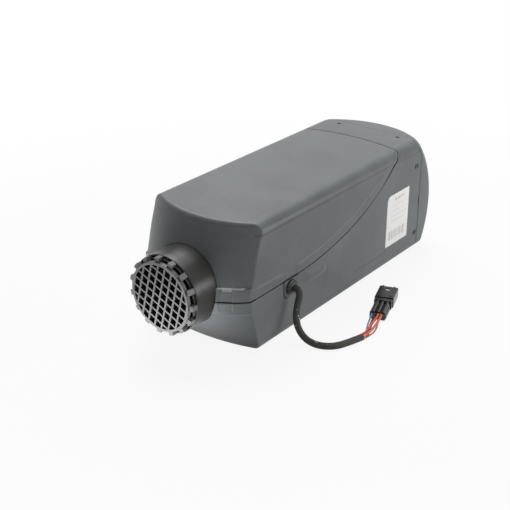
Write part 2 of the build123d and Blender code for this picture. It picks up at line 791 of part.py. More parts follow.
# ================================================================ blower end
def blower_y():
    return exchanger_rear_y + burner_gasket_thickness + burner_flange_thickness


def plate_y():
    return blower_y() + blower_length


def motor_y():
    return plate_y() + blower_plate


def motor_end_y():
    return motor_y() + motor_length


def fan_y():
    return motor_end_y() + fan_gap


def make_blower_housing():
    """Cup that holds the combustion-air impeller, with its inlet from the intake stub."""
    y0, y1 = blower_y(), plate_y()
    cup = along_y(blower_radius, y0, y1)
    boss = intake_radius + root_step + 2.5
    cup += block(intake_x - boss, intake_x + boss, y0, y1, foot_top(), axis_z - 30)
    cup -= along_y(blower_radius - blower_wall, y0 + 6, y1 + 1)
    cup -= along_y(10, y0 - 1, y0 + 7, 0)
    cup -= upright(intake_radius + root_step, 0, foot_top() + 8, intake_x, intake_y)
    cup -= upright(intake_radius - 3, 0, axis_z - 20, intake_x, intake_y)
    for x, z in blower_screw_places():
        cup -= along_y(2.6, y0 - 1, y0 + 7, x, z)
    for x in (-25, 25):
        top = ecu_base_z()
        post = upright(4, axis_z + sqrt(blower_radius ** 2 - x ** 2) - 8, top, x, y0 + 9)
        post -= along_y(blower_radius - blower_wall, y0 + 6, y1 + 1)
        cup += post
    return cup


def make_blower_plate():
    """End plate of the blower, which carries the front bearing and the motor."""
    y0, y1 = plate_y(), plate_y() + blower_plate
    plate = along_y(blower_radius, y0, y1) + along_y(bearing_radius + 3, y0 - 4, y0 + 0.1)
    plate -= along_y(bearing_radius, y0 - 2, y1 + 1)
    return plate - along_y(shaft_radius + 1, y0 - 5, y1 + 1)


def make_bearing(y0):
    return along_y(bearing_radius, y0, y0 + bearing_width) - along_y(shaft_radius + shaft_clearance,
                                                                     y0 - 1, y0 + bearing_width + 1)


def front_bearing_y():
    return plate_y() - 2


def rear_bearing_y():
    return motor_end_y() - bearing_width


def make_motor_case():
    """Drawn can with its end wall and a rear bearing seat."""
    y0, y1 = motor_y(), motor_end_y()
    can = along_y(motor_radius, y0, y1) - along_y(motor_radius - motor_wall, y0 - 1, y1 - 2.5)
    can += along_y(bearing_radius + 2.5, y1 - bearing_width - 1, y1)
    can -= along_y(bearing_radius, y1 - bearing_width, y1 + 1)
    can -= along_y(shaft_radius + 2, y1 - bearing_width - 3, y1 + 1)
    for index in range(6):
        vent = at(0, y1, axis_z) * Rot(Y=index * 60 + 30) * at(0, 0, 22) * Rot(X=90)
        can -= vent * Cylinder(4, 12)
    return can


def make_motor_magnets():
    """Two curved magnets bonded inside the can."""
    y0, y1 = motor_y() + 6, motor_end_y() - 10
    outer = motor_radius - motor_wall
    ring = along_y(outer, y0, y1) - along_y(outer - magnet_thickness, y0 - 1, y1 + 1)
    gap = block(-FAR, FAR, y0 - 1, y1 + 1, axis_z - 8, axis_z + 8)
    return ring - gap


def make_motor_rotor():
    """Slotted laminated core on the shaft."""
    y0, y1 = motor_y() + 8, motor_end_y() - 12
    core = along_y(rotor_radius, y0, y1)
    for index in range(12):
        slot = at(0, (y0 + y1) / 2, axis_z) * Rot(Y=index * 30) * at(0, 0, rotor_radius - 3)
        core -= slot * Box(3.2, y1 - y0 + 2, 8)
    return core - along_y(shaft_radius, y0 - 1, y1 + 1)


def make_shaft():
    front = blower_y() + 8
    back = fan_y() + fan_depth - 4
    shaft = along_y(shaft_radius, front, back)
    return chamfer(shaft.edges().filter_by(GeomType.CIRCLE), 0.6)


def make_impeller():
    """Combustion-air wheel: a disc with backward-curved blades facing the burner."""
    disc_y = front_bearing_y() - 5
    wheel = along_y(impeller_radius, disc_y - impeller_disc, disc_y)
    wheel += along_y(9, disc_y - 12, disc_y)
    blade = make_face([
        ThreePointArc((14, 0), (28, 5), (impeller_radius - 1, 17)),
        Line((impeller_radius - 1, 17), (impeller_radius - 2.4, 18.4)),
        ThreePointArc((impeller_radius - 2.4, 18.4), (27.2, 6.6), (13.4, 1.6)),
        Line((13.4, 1.6), (14, 0)),
    ])
    vane = extrude(Plane.XZ * blade, impeller_blade_height)
    for index in range(impeller_blades):
        turn = Rot(Y=360 / impeller_blades * index)
        wheel += at(0, disc_y - impeller_disc + 0.01, axis_z) * turn * vane
    wheel &= along_y(impeller_radius, disc_y - impeller_disc - impeller_blade_height, disc_y)
    return wheel - along_y(shaft_radius, disc_y - 20, disc_y + 1)


def fan_blade():
    """One twisted blade, lofted through three rolled sections from the hub to the tip."""
    sections = []
    for reach, pitch, chord in ((fan_hub_radius - 2, 58, 20), (35, 44, 24), (fan_radius + 2, 34, 27)):
        plane = Plane(origin=(reach, 0, 0), x_dir=(0, sin(radians(pitch)), cos(radians(pitch))), z_dir=(1, 0, 0))
        sections.append(plane * RectangleRounded(chord, 2.0, 0.7))
    return loft(sections)


def make_fan():
    """Heating-air fan: hub cup and twisted blades, trimmed to the duct's radius."""
    y0, y1 = fan_y(), fan_y() + fan_depth
    hub = along_y(fan_hub_radius, y0, y1)
    hub = fillet(hub.edges().sort_by(Axis.Y)[-1:], 4)
    hub -= along_y(fan_hub_radius - 2.5, y0 - 1, y1 - 4) - along_y(7, y0 - 2, y1)
    blade = fan_blade()
    wheel = hub
    for index in range(fan_blades):
        wheel += at(0, (y0 + y1) / 2, axis_z) * Rot(Y=360 / fan_blades * index) * blade
    wheel &= along_y(fan_radius, y0, y1)
    return wheel - along_y(shaft_radius, y0 - 1, y1 - 4)


def make_fan_baffle():
    """Wall across the casing with the fan's duct ring, and three struts to the motor."""
    y0 = fan_y() - 3
    y1 = fan_y() + fan_depth + 2
    inner = fan_radius + fan_duct_gap
    wall_y = fan_y() + 10
    plate = section_prism(wall + slip + 0.2) & block(-FAR, FAR, wall_y, wall_y + baffle_thickness, 0, FAR)
    plate += along_y(inner + fan_duct_wall, y0, y1)
    plate -= along_y(inner, y0 - 1, y1 + 1)
    for index in range(3):
        strut = at(0, 0, axis_z) * Rot(Y=index * 120 + 90)
        strut = strut * at(0, 0, (motor_radius + inner + 1) / 2) * Box(5, 1, inner + 1 - motor_radius - 0.1)
        strut = at(0, y0 - 4, 0) * extrude(strut.faces().sort_by(Axis.Y)[-1], 8)
        plate += strut
    collar = along_y(motor_radius + 3, y0 - 7, y0 - 3) - along_y(motor_radius, y0 - 8, y0)
    return plate + collar - along_y(motor_radius, y0 - 12, y0)


# ================================================================ control unit
def ecu_top_z():
    return casing_top - wall - ecu_headroom


def ecu_base_z():
    return ecu_top_z() - ecu_lid - ecu_height


def ecu_back_y():
    return ecu_front_y + ecu_length


def make_ecu_case():
    low = ecu_base_z()
    case = block(-ecu_half_width, ecu_half_width, ecu_front_y, ecu_back_y(), low, low + ecu_height)
    case = fillet(case.edges().filter_by(Axis.Z), 3)
    case -= block(-ecu_half_width + ecu_wall, ecu_half_width - ecu_wall, ecu_front_y + ecu_wall,
                  ecu_back_y() - ecu_wall, low + ecu_wall, low + ecu_height + 1)
    for x, y in ecu_screw_places():
        case += upright(3.2, low + 1, low + ecu_height, x, y)
        case -= upright(1.2, low + 3, low + ecu_height + 1, x, y)
    return case


def ecu_screw_places():
    return [(sx * (ecu_half_width - 5), y) for sx in (-1, 1) for y in (ecu_front_y + 5, ecu_back_y() - 5)]


def make_ecu_lid():
    low = ecu_base_z() + ecu_height
    lid = block(-ecu_half_width, ecu_half_width, ecu_front_y, ecu_back_y(), low, low + ecu_lid)
    lid = fillet(lid.edges().filter_by(Axis.Z), 3)
    for x, y in ecu_screw_places():
        lid -= upright(1.5, low - 1, low + ecu_lid + 1, x, y)
    return lid


def make_ecu_screws():
    top = ecu_base_z() + ecu_height + ecu_lid
    screws = []
    for x, y in ecu_screw_places():
        screws.append(upright(1.2, ecu_base_z() + 4, top, x, y) + upright(2.4, top, top + 1.2, x, y))
    return Compound(children=screws)


def make_ecu_board():
    low = ecu_base_z() + ecu_wall + 2.4
    edge = 8.5
    board = block(-ecu_half_width + edge, ecu_half_width - edge, ecu_front_y + 4, ecu_back_y() - 4, low, low + 1.6)
    board += block(-20, -4, ecu_front_y + 12, ecu_front_y + 26, low + 1.5, low + 4.5)
    board += block(6, 24, ecu_front_y + 14, ecu_front_y + 26, low + 1.5, low + 5.5)
    for x, y in ((-18, 46), (-6, 46), (6, 46), (18, 46)):
        board += upright(3.4, low + 1.5, low + 7.5, x, ecu_front_y + y)
    for x in (-20, 20):
        board += upright(2.0, low - 2.4, low + 0.1, x, ecu_front_y + 36)
    return board


def make_motor_clamp():
    """Band round the motor with the post that carries the control unit's rear end."""
    y0, y1 = motor_y() + 24, motor_y() + 32
    band = along_y(motor_radius + 2, y0, y1)
    band += block(-10, 10, y0, y1, axis_z, ecu_base_z())
    return band - along_y(motor_radius, y0 - 1, y1 + 1)


def make_blower_screws():
    """Four headless screws that hold the blower to the heat exchanger's flange."""
    screws = []
    for x, z in blower_screw_places():
        shank = along_y(2.4, exchanger_rear_y - flange_thickness + 0.5, blower_y() + 6, x, z)
        screws.append(shank)
    return Compound(children=screws)


# ================================================================ harness
def bend_radii(points):
    """Largest arc at each corner that its two runs allow."""
    radii = []
    for before, here, after in zip(points, points[1:], points[2:]):
        one = Vector(*here) - Vector(*before)
        two = Vector(*after) - Vector(*here)
        turn = radians(one.get_angle(two))
        radii.append(0.45 * min(one.length, two.length) / tan(turn / 2))
    return radii


def tube_along(points, radius, name=None):
    radii = bend_radii(points)
    path = FilletPolyline(*points, radius=radii)
    heading = path % 0
    section = Plane(origin=path @ 0, z_dir=heading) * Circle(radius)
    tube = sweep(section, path=path)
    if name:
        length = path.length
        print(f"{name}: length {length:.1f}, smallest bend {min(radii):.1f}, "
              f"volume ratio {tube.volume / (pi * radius ** 2 * length):.4f}")
    return tube


sleeve_z = sleeve_radius + floor_clear
sleeve_route = [
    (grommet_nose_x(), port_y, grommet_z()),
    (grommet_nose_x() + 3.9, port_y, grommet_z()),
    (84.3, -108.0, 53.1),
    (86.8, -109.1, 50.1),
    (87.8, -110.9, 45.6),
    (87.2, -113.9, 38.2),
    (86.8, -116.7, 28.6),
    (89.6, -118.8, 19.0),
    (96.0, -119.9, 10.8),
    (105.4, -119.6, 5.3),
    (118.0, -117.6, sleeve_z),
    (130.6, -109.2, sleeve_z),
    (137.8, -92.8, sleeve_z),
    (142.5, -75.3, sleeve_z),
]


def plug_point(across, forward, height):
    """Point given from the centre of the shroud's rear face, at a height above the plate."""
    yaw = radians(plug_yaw)
    x = plug_x + across * cos(yaw) - forward * sin(yaw)
    y = plug_y + across * sin(yaw) + forward * cos(yaw)
    return (x, y, height)


# name, radius, offset at the sleeve's end (across, up), sideways bow, offset at the plug (across, up)
wires = [
    ("wire_red_outer", thick_wire_radius, (1.3, 1.8), (3.0, 3.0), (4.8, 2.0)),
    ("wire_red_inner", thick_wire_radius, (-1.7, 1.75), (-0.4, 2.6), (1.2, 2.1)),
    ("wire_blue", thin_wire_radius, (-2.6, -0.7), (-4.6, 1.0), (-5.6, 1.6)),
    ("wire_black", thin_wire_radius, (-0.5, -0.8), (-2.2, 0.4), (-2.4, 1.2)),
    ("wire_white", thin_wire_radius, (0.5, -2.6), (0.2, -0.4), (-2.6, -2.4)),
    ("wire_tan", thin_wire_radius, (2.3, -1.0), (5.0, -0.6), (3.4, -2.4)),
]


def wire_route(start, bow, end):
    """From the sleeve's cut end, along its heading, over the gap and straight into the plug."""
    tip = Vector(*sleeve_route[-1])
    ahead = (tip - Vector(*sleeve_route[-2])).normalized()
    across = Vector(ahead.Y, -ahead.X, 0)
    up = Vector(0, 0, 1)
    rear = -barrel_size[1]
    centre_z = shroud_size[2] / 2
    entry = Vector(*plug_point(end[0], rear, centre_z + end[1]))
    before = Vector(*plug_point(end[0], rear - 8, centre_z + end[1]))
    first = tip + across * start[0] + up * start[1]
    second = first + ahead * 8
    halfway = (second + before) * 0.5 + across * bow[0] * 0.7 + up * bow[1] * 0.5
    return [tuple(p) for p in (first, second, halfway, before, entry)]


def turned(shape):
    """Place a piece of the plug, modelled with its shroud's rear face at y = 0."""
    return at(plug_x, plug_y, 0) * Rot(Z=plug_yaw) * shape


def make_plug_housing():
    """Rear half of the plug: three round barrels above a ribbed block, and a shoulder."""
    width, length, height = barrel_size
    middle = shroud_size[2] / 2
    low, high = middle - height / 2, middle + height / 2
    body = block(-width / 2, width / 2, -length, 0, low, high - 2.2)
    for x in (-width / 3, 0, width / 3):
        body += along_y(width / 6, -length + 1.5, 0, x, high - width / 6)
    for step in range(6):
        start = -length + 3 + step * 4.2
        body += block(width / 2 - 0.1, width / 2 + 0.7, start, start + 2, low, high - 3)
        body += block(-width / 2 - 0.7, -width / 2 + 0.1, start, start + 2, low, high - 3)
    shoulder = block(-width / 2 - 1.6, width / 2 + 1.6, -6.5, 0, low - 0.6, high + 0.4)
    return turned(body + fillet(shoulder.edges().filter_by(Axis.Y), 1.2))


def make_plug_shroud():
    """Front half: an open mouth with keyways, and the latch's bridge on top."""
    width, length, height = shroud_size
    shroud = block(-width / 2, width / 2, 0, length, 0, height)
    shroud = fillet(shroud.edges().filter_by(Axis.Y), 1.6)
    shroud -= block(-width / 2 + 1.4, width / 2 - 1.4, 5, length + 1, 1.4, height - 1.4)
    for x in (-width / 2 + 4.4, width / 2 - 4.4):
        shroud += block(x - 0.9, x + 0.9, 1.5, length, height - 0.1, height + 0.9)
    shroud -= block(-2.2, 2.2, length - 9, length - 5, height - 2, height + 2)
    return turned(shroud)


def make_plug_pins():
    """Contact blades inside the shroud."""
    pins = []
    for x in (-6, -2, 2, 6):
        for z in (4.2, 8.3):
            pins.append(turned(block(x - 0.8, x + 0.8, 5, 16, z - 0.4, z + 0.4)))
    return Compound(children=pins)


def make_inner_harness():
    """The harness inside the casing: from the grommet, along the wall, up to the control unit."""
    start = casing_half_width - wall - 3.5
    x = casing_half_width - wall - 7.5
    z = grommet_z()
    entry_z = ecu_base_z() + ecu_height / 2
    route = [(start, port_y, z), (start - 3.2, port_y, z), (x - 1.9, port_y + 1.6, z + 0.1),
             (x - 3.3, port_y + 4.4, z + 0.3), (x - 2.9, port_y + 8.8, z + 0.6), (x - 1, -91, z + 1.2),
             (x + 0.2, -77, z + 1.6), (x - 0.4, -55, z + 1.2), (x + 0.3, -31, z + 2.4), (x, -9, z + 3.6),
             (x + 0.4, 8, z + 9), (x + 0.1, 20, z + 19.5), (x - 0.1, 28, z + 33), (x - 1, 32.5, z + 47.5),
             (x - 4.2, 35.8, z + 60.5), (x - 10.5, 38, entry_z - 4.4), (ecu_half_width + 6.5, 39.4, entry_z - 0.9),
             (ecu_half_width, 40, entry_z)]
    return tube_along(route, inner_harness_radius, "inner_harness")


def main():
    os.makedirs("parts", exist_ok=True)
    region = cover_region()
    skin = layer(0, wall)

    save("upper_cover", make_upper_cover(skin, region))
    save("lower_shell", make_lower_shell(skin, region))
    save("rear_intake_cap", make_rear_cap(skin))
    save("cable_port_insert", make_port_insert(1, True))
    save("blank_port_insert", make_port_insert(-1, False))
    save("cable_grommet", make_grommet())

    save("outlet_collar", make_collar())
    save("outlet_grille", make_grille())

    save("heat_exchanger", make_heat_exchanger() + make_sensor_pad())
    save("combustion_chamber", make_burner())
    save("burner_gasket", make_burner_gasket())
    save("exhaust_stub", make_stub(exhaust_radius, exhaust_x, exhaust_y, exhaust_reach, foot_top() + 8))
    save("air_intake_stub", make_stub(intake_radius, intake_x, intake_y, intake_reach, foot_top() + 8))
    save("fuel_pipe", make_fuel_pipe())
    save("base_gasket", make_base_gasket())
    save("mounting_studs", make_studs())
    save("glow_plug", make_glow_plug())
    save("glow_plug_boot", make_glow_boot())
    save("glow_plug_lead", make_glow_lead())
    save("overheat_sensor", make_sensor())
    save("sensor_clip", make_sensor_clip())
    save("sensor_lead", make_sensor_lead())

    save("blower_housing", make_blower_housing())
    save("blower_end_plate", make_blower_plate())
    save("blower_screws", make_blower_screws())
    save("combustion_impeller", make_impeller())
    save("front_bearing", make_bearing(front_bearing_y()))
    save("rear_bearing", make_bearing(rear_bearing_y()))
    save("motor_case", make_motor_case())
    save("motor_magnets", make_motor_magnets())
    save("motor_rotor", make_motor_rotor())
    save("motor_shaft", make_shaft())
    save("motor_clamp", make_motor_clamp())
    save("heating_fan", make_fan())
    save("fan_baffle", make_fan_baffle())

    save("ecu_case", make_ecu_case())
    save("ecu_lid", make_ecu_lid())
    save("ecu_screws", make_ecu_screws())
    save("ecu_circuit_board", make_ecu_board())

    save("harness_sleeve", tube_along(sleeve_route, sleeve_radius, "harness_sleeve"))
    save("inner_harness", make_inner_harness())
    for name, radius, start, bow, end in wires:
        save(name, tube_along(wire_route(start, bow, end), radius, name))
    save("plug_housing", make_plug_housing())
    save("plug_shroud", make_plug_shroud())
    save("plug_pins", make_plug_pins())


main()
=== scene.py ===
# %% [markdown]
# # A diesel air heater, dressed for its portrait
# The heater is a long moulded box. Warm air leaves through the round grille at the front, the domed cap
# at the back lets air in, and a short cable with a plug comes out of one side. The CAD frame already
# holds every solid at its real size. This notebook adds the moulded skins, the cable and the finishes.
# Lengths are worked out in millimetres and become metres only when a mesh is made.

# %% load the fixed frame
import json
import bpy
import bmesh
import numpy as np
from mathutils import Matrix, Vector


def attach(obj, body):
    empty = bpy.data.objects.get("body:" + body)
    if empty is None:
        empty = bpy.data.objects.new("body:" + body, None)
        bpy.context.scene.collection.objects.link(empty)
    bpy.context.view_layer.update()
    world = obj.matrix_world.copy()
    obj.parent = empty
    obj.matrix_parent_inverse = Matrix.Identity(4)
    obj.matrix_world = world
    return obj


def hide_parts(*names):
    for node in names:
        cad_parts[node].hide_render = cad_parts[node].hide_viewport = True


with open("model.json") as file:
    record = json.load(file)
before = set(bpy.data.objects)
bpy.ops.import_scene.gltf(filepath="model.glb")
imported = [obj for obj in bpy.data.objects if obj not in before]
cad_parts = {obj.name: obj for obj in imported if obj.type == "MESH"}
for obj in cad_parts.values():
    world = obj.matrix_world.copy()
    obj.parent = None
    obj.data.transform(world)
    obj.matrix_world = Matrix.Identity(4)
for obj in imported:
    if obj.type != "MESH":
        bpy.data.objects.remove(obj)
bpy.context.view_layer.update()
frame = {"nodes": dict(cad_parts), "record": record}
MM = 0.001

# %% [markdown]
# ## Camera
# A product photograph is usually taken with a long lens from about a metre away, so that the box keeps
# nearly parallel edges. The place was found by lining up the box's corners with the picture.

# %% camera
camera_data = bpy.data.cameras.new("camera")
camera_data.lens = 73.8
camera_data.sensor_width = 36.0
camera_data.clip_start = 0.02
camera = bpy.data.objects.new("camera", camera_data)
bpy.context.scene.collection.objects.link(camera)
eye = Vector((640.14, -899.46, 561.43)) * MM
aim = Vector((17.84, -98.78, 72.0)) * MM
camera.location = eye
camera.rotation_euler = (aim - eye).to_track_quat("-Z", "Y").to_euler()
bpy.context.scene.camera = camera

# %% [markdown]
# ## Shader maths as plain expressions
# A socket is wrapped in a small class, so that `mask * 0.3 + 0.5` adds Math nodes by itself. Any other
# node comes from one method that takes the node's type, its settings and its inputs.

# %% socket wrapper
class Wire:
    """A float, colour or vector socket that can be used in arithmetic."""

    def __init__(self, shop, socket):
        self.shop, self.socket = shop, socket

    def _math(self, operation, *values):
        return self.shop.node("ShaderNodeMath", {"operation": operation}, dict(enumerate(values)))

    def __add__(self, other):
        return self._math("ADD", self, other)

    def __sub__(self, other):
        return self._math("SUBTRACT", self, other)

    def __rsub__(self, other):
        return self._math("SUBTRACT", other, self)

    def __mul__(self, other):
        return self._math("MULTIPLY", self, other)

    def __abs__(self):
        return self._math("ABSOLUTE", self)

    def high(self, other):
        """The larger of two floats, which lays one mask over another."""
        return self._math("MAXIMUM", self, other)


class Shop:
    """A node tree, and the nodes that are ordered in it."""

    def __init__(self, tree):
        self.tree = tree

    def node(self, kind, settings=None, inputs=None, out=0):
        """One of the outputs of a new node, whose inputs are linked to wires or set to values."""
        made = self.tree.nodes.new(kind)
        for key, value in (settings or {}).items():
            setattr(made, key, value)
        for key, value in (inputs or {}).items():
            if isinstance(value, Wire):
                self.tree.links.new(value.socket, made.inputs[key])
            else:
                made.inputs[key].default_value = value
        return Wire(self, made.outputs[out])

    def place(self):
        """Object coordinates, in metres."""
        return self.node("ShaderNodeTexCoord", out="Object")

    def axes(self, vector=None):
        """The three coordinates of a place, as separate floats."""
        split = self.node("ShaderNodeSeparateXYZ", {}, {0: vector or self.place()})
        outputs = split.socket.node.outputs
        return [Wire(self, outputs[i]) for i in range(3)]

    def noise(self, scale, detail=2.0, roughness=0.5, vector=None):
        """Soft random clouds, about 0.5 in the middle."""
        return self.node("ShaderNodeTexNoise", {}, {"Vector": vector or self.place(), "Scale": scale,
                                                    "Detail": detail, "Roughness": roughness}, out="Fac")

    def ramp(self, value, low, high, start=0.0, end=1.0):
        """From start to end, smoothly, while the value goes from low to high."""
        return self.node("ShaderNodeMapRange", {"interpolation_type": "SMOOTHSTEP"},
                         {"Value": value, "From Min": low, "From Max": high, "To Min": start, "To Max": end})

    def mix(self, share, first, second):
        """Two colours mixed by a float."""
        return self.node("ShaderNodeMix", {"data_type": "RGBA"}, {0: share, 6: first, 7: second}, out=2)

    def band(self, value, low, high, soft):
        """1 between low and high, falling to 0 over the soft margin outside."""
        return self.ramp(value, low - soft, low) * self.ramp(value, high, high + soft, 1.0, 0.0)

    def bump(self, height, strength, distance, soft_edge=None, under=None):
        """A normal from a height, on top of another normal or of edges softened by a Bevel node."""
        inputs = {"Height": height, "Strength": strength, "Distance": distance}
        if under is not None:
            inputs["Normal"] = under
        elif soft_edge:
            inputs["Normal"] = self.node("ShaderNodeBevel", {"samples": 4}, {"Radius": soft_edge})
        return self.node("ShaderNodeBump", {}, inputs)

    def seen(self):
        """1 for rays that show something to the camera, also in a mirror or a pane; 0 for the light's."""
        kinds = ("Is Camera Ray", "Is Glossy Ray", "Is Transmission Ray")
        camera_ray, glossy_ray, pane_ray = [self.node("ShaderNodeLightPath", out=kind) for kind in kinds]
        return camera_ray.high(glossy_ray).high(pane_ray)


finish_of = {}


class Finish(Shop):
    """One material: a Principled shader and the nodes that feed it. finish_of finds it by its name."""

    def __init__(self, name, **plain):
        finish_of[name] = self
        self.material = bpy.data.materials.new(name)
        self.material.use_nodes = True
        super().__init__(self.material.node_tree)
        self.shader = self.tree.nodes["Principled BSDF"]
        for socket, value in plain.items():
            self.shader.inputs[socket.replace("_", " ")].default_value = value

    def feed(self, **wires):
        """Link sockets of the shader, by their names, to wires."""
        for socket, wire in wires.items():
            self.tree.links.new(wire.socket, self.shader.inputs[socket.replace("_", " ")])


def grey(value, warmth=0.0):
    """A linear grey, warm or cool by a small share."""
    return (value * (1 + warmth), value, value * (1 - warmth), 1.0)


def toned(colour, share, lift=0.0):
    """The colour made paler or darker by a share, with a small lift, and never above 1."""
    return tuple(min(1.0, c * share + lift) for c in colour[:3]) + (1.0,)


print("node helpers ready")

# %% [markdown]
# ## Moulded plastic
# Glass-filled nylon comes out of the mould with a fine spark-eroded grain: it scatters light broadly and
# shows faint flow clouds. A small noise drives a bump for the grain, and a much larger one shifts colour and
# roughness a little. On small parts a Bevel node softens the edges that light catches. The big skins do
# without it, because their edges are truly round. Three attributes on their meshes say where light and shade
# are painted into the colour: a painted highlight on the front ledge, a painted shadow line under the
# shoulder, and painted shade, near black, in the seams.

# %% plastic finishes
def moulded(name, colour, rough=0.42, grain=0.00006, edge=0.0006, specular=0.45, painted_light=False):
    """A plastic: its colour shifted by broad clouds and pale specks, with grain as a bump of that depth."""
    made = Finish(name, Roughness=rough, Specular_IOR_Level=specular)
    fine = made.noise(1500.0, 2.0, 0.6)
    broad = made.noise(14.0, 3.0, 0.6)
    specks = made.ramp(made.noise(420.0, 0.0), 0.70, 0.78)
    base = made.mix(made.ramp(broad, 0.35, 0.65), toned(colour, 0.9), toned(colour, 1.1))
    made.skin = made.bump(fine, 0.5, grain, edge)
    base = made.mix(specks * 0.25, base, toned(colour, 1.5))
    if painted_light:
        # Painted light from three point attributes: a painted highlight, a painted shadow line under the
        # shoulder, and painted shade, near black, in the seams.
        rubbed, fold, seam_shade = [made.node("ShaderNodeAttribute", {"attribute_name": mark}, out="Fac")
                              for mark in ("rub", "fold", "seam")]
        base = made.mix(rubbed, base, grey(0.7))
        base = made.mix(fold * 0.4, base, grey(0.004))
        base = made.mix(seam_shade, base, grey(0.004))
    made.base = base
    made.feed(Base_Color=base,
              Roughness=made.ramp(broad, 0.3, 0.7, rough - 0.04, rough + 0.05), Normal=made.skin)
    return made


def panel_lines(made):
    """Fine lines round a plate in the right side, from 0 to 1: low, short rear and faint front."""
    x, y, z = made.axes()
    right = made.ramp(x, 0.066, 0.070)
    low = made.band(z, 0.0218, 0.0221, 0.0003) * made.band(y, 0.019, 0.084, 0.0005)
    rear = made.band(y, 0.0838, 0.0841, 0.0003) * made.band(z, 0.022, 0.030, 0.0005)
    front = made.band(y, 0.0185, 0.0187, 0.0004) * made.band(z, 0.022, 0.060, 0.012)
    return right * low.high(rear).high(front * 0.5)


# Painted shadow: the dark line under the shoulder is painted into the colour.
def shoulder_shadow_line(made):
    """The dark line under the shoulder, from 0 to 1: a thin level band where the sides are upright."""
    x, _, z = made.axes()
    return made.ramp(abs(x), 0.0705, 0.0712) * made.band(z, 0.1299, 0.1304, 0.0004)


casing_colour = (0.137, 0.147, 0.152, 1.0)
casing_plastic = moulded("casing_plastic", casing_colour, rough=0.36, edge=None, specular=0.28, painted_light=True)
lower_plastic = moulded("lower_plastic", casing_colour, rough=0.36, edge=None, specular=0.28, painted_light=True)
# Near black for the tongues: painted shade, as they sit in the dark gap of the seam.
tongue_shade_plastic = moulded("tongue_shade_plastic", grey(0.008), rough=0.7, edge=None, specular=0.1)
# The plate's fine lines are a bump, and their darker colour is painted shade in the grooves; the line under
# the shoulder is a painted shadow.
plate_groove_and_shade = panel_lines(lower_plastic)
lower_plastic.feed(Base_Color=lower_plastic.mix((plate_groove_and_shade * 0.5).high(shoulder_shadow_line(lower_plastic) * 0.45),
                                                lower_plastic.base, grey(0.02)),
                   Normal=lower_plastic.bump(1 - plate_groove_and_shade, 1.0, 0.0004, under=lower_plastic.skin))
collar_plastic = moulded("collar_plastic", grey(0.032, 0.04), rough=0.28, grain=0.00003, specular=0.25)

# %% grille and small mouldings
grille_plastic = moulded("grille_plastic", grey(0.155, -0.01), rough=0.4, specular=0.28)
# Painted shade: behind the front face and inside the rim, the grille's colour turns dark, where shade falls
# deep in the cells.
grille_x, grille_y, grille_z = grille_plastic.axes()
from_axis = grille_plastic.node("ShaderNodeCombineXYZ", {}, {0: grille_x, 1: grille_z - 0.070})
off_axis = grille_plastic.node("ShaderNodeVectorMath", {"operation": "LENGTH"}, {0: from_axis}, out="Value")
behind_face = grille_plastic.ramp(grille_y, -0.2308, -0.2298)
painted_cell_shade = behind_face * grille_plastic.ramp(off_axis, 0.0350, 0.0356, 1.0, 0.0)
grille_plastic.feed(Base_Color=grille_plastic.mix(painted_cell_shade, grille_plastic.base, grey(0.035)))
moulded("insert_plastic", grey(0.12, -0.03))
moulded("fan_plastic", grey(0.03), rough=0.35)
moulded("baffle_plastic", grey(0.035), rough=0.5)
moulded("ecu_plastic", grey(0.03), rough=0.45)
moulded("plug_plastic", grey(0.012), rough=0.16, grain=0.00002, specular=0.6, edge=0.0004)
moulded("black_rubber", grey(0.013), rough=0.28, grain=0.00002, edge=0.0008)
moulded("gasket_rubber", grey(0.03), rough=0.6)
moulded("gasket_fibre", grey(0.09, 0.05), rough=0.8)
moulded("magnet_ferrite", grey(0.05), rough=0.55)
moulded("board_green", (0.015, 0.09, 0.045, 1.0), rough=0.25, grain=0.00002, specular=0.5)
print("moulded finishes:", len(finish_of))

# %% [markdown]
# ## Metals
# Castings keep the rough skin of their mould, drawn and turned parts carry fine lines from the tool.

# %% metal finishes
def metal(name, colour, rough, skin, scale, stretch=(1, 1, 1)):
    """A metal: one noise, drawn out by stretch into tool lines, drives both the bump and the roughness."""
    made = Finish(name, Metallic=1.0, Roughness=rough)
    place = made.node("ShaderNodeMapping", {}, {"Vector": made.place(), "Scale": stretch})
    fine = made.noise(scale, 3.0, 0.6, place)
    broad = made.noise(40.0, 2.0)
    made.feed(Base_Color=made.mix(broad, toned(colour, 0.88), toned(colour, 1.08)),
              Roughness=made.ramp(fine, 0.3, 0.7, rough - 0.06, rough + 0.08),
              Normal=made.bump(fine, 0.6, skin, 0.0005))


metal("cast_aluminium", grey(0.55), 0.5, 0.00012, 900.0)
metal("impeller_aluminium", grey(0.62), 0.32, 0.00003, 1500.0)
metal("stub_aluminium", grey(0.6), 0.32, 0.00003, 400.0, (1, 1, 12))
metal("stub_steel", grey(0.5, 0.02), 0.3, 0.00003, 400.0, (1, 1, 12))
metal("burner_steel", grey(0.42, 0.05), 0.35, 0.00003, 600.0, (1, 10, 1))
metal("zinc_steel", grey(0.52, 0.03), 0.35, 0.00004, 900.0)
metal("spring_steel", grey(0.45), 0.3, 0.00002, 500.0, (8, 1, 1))
metal("bearing_steel", grey(0.6), 0.2, 0.00001, 800.0)
metal("core_steel", grey(0.25), 0.45, 0.00005, 300.0, (1, 30, 1))
metal("sensor_brass", (0.62, 0.44, 0.2, 1.0), 0.3, 0.00002, 700.0)
metal("contact_tin", grey(0.65, 0.02), 0.28, 0.00002, 900.0)
metal("motor_can", grey(0.35, 0.01), 0.38, 0.00003, 500.0, (1, 10, 1))
print("finishes with the metals:", len(finish_of))

# %% [markdown]
# ## Wires and the braided sleeve
# Thin insulation is soft and slightly glossy. The sleeve is a tight braid: two sets of threads cross at a
# slant. Both follow the cable, so the pattern reads the curve's own UV map, whose U runs along the cable.

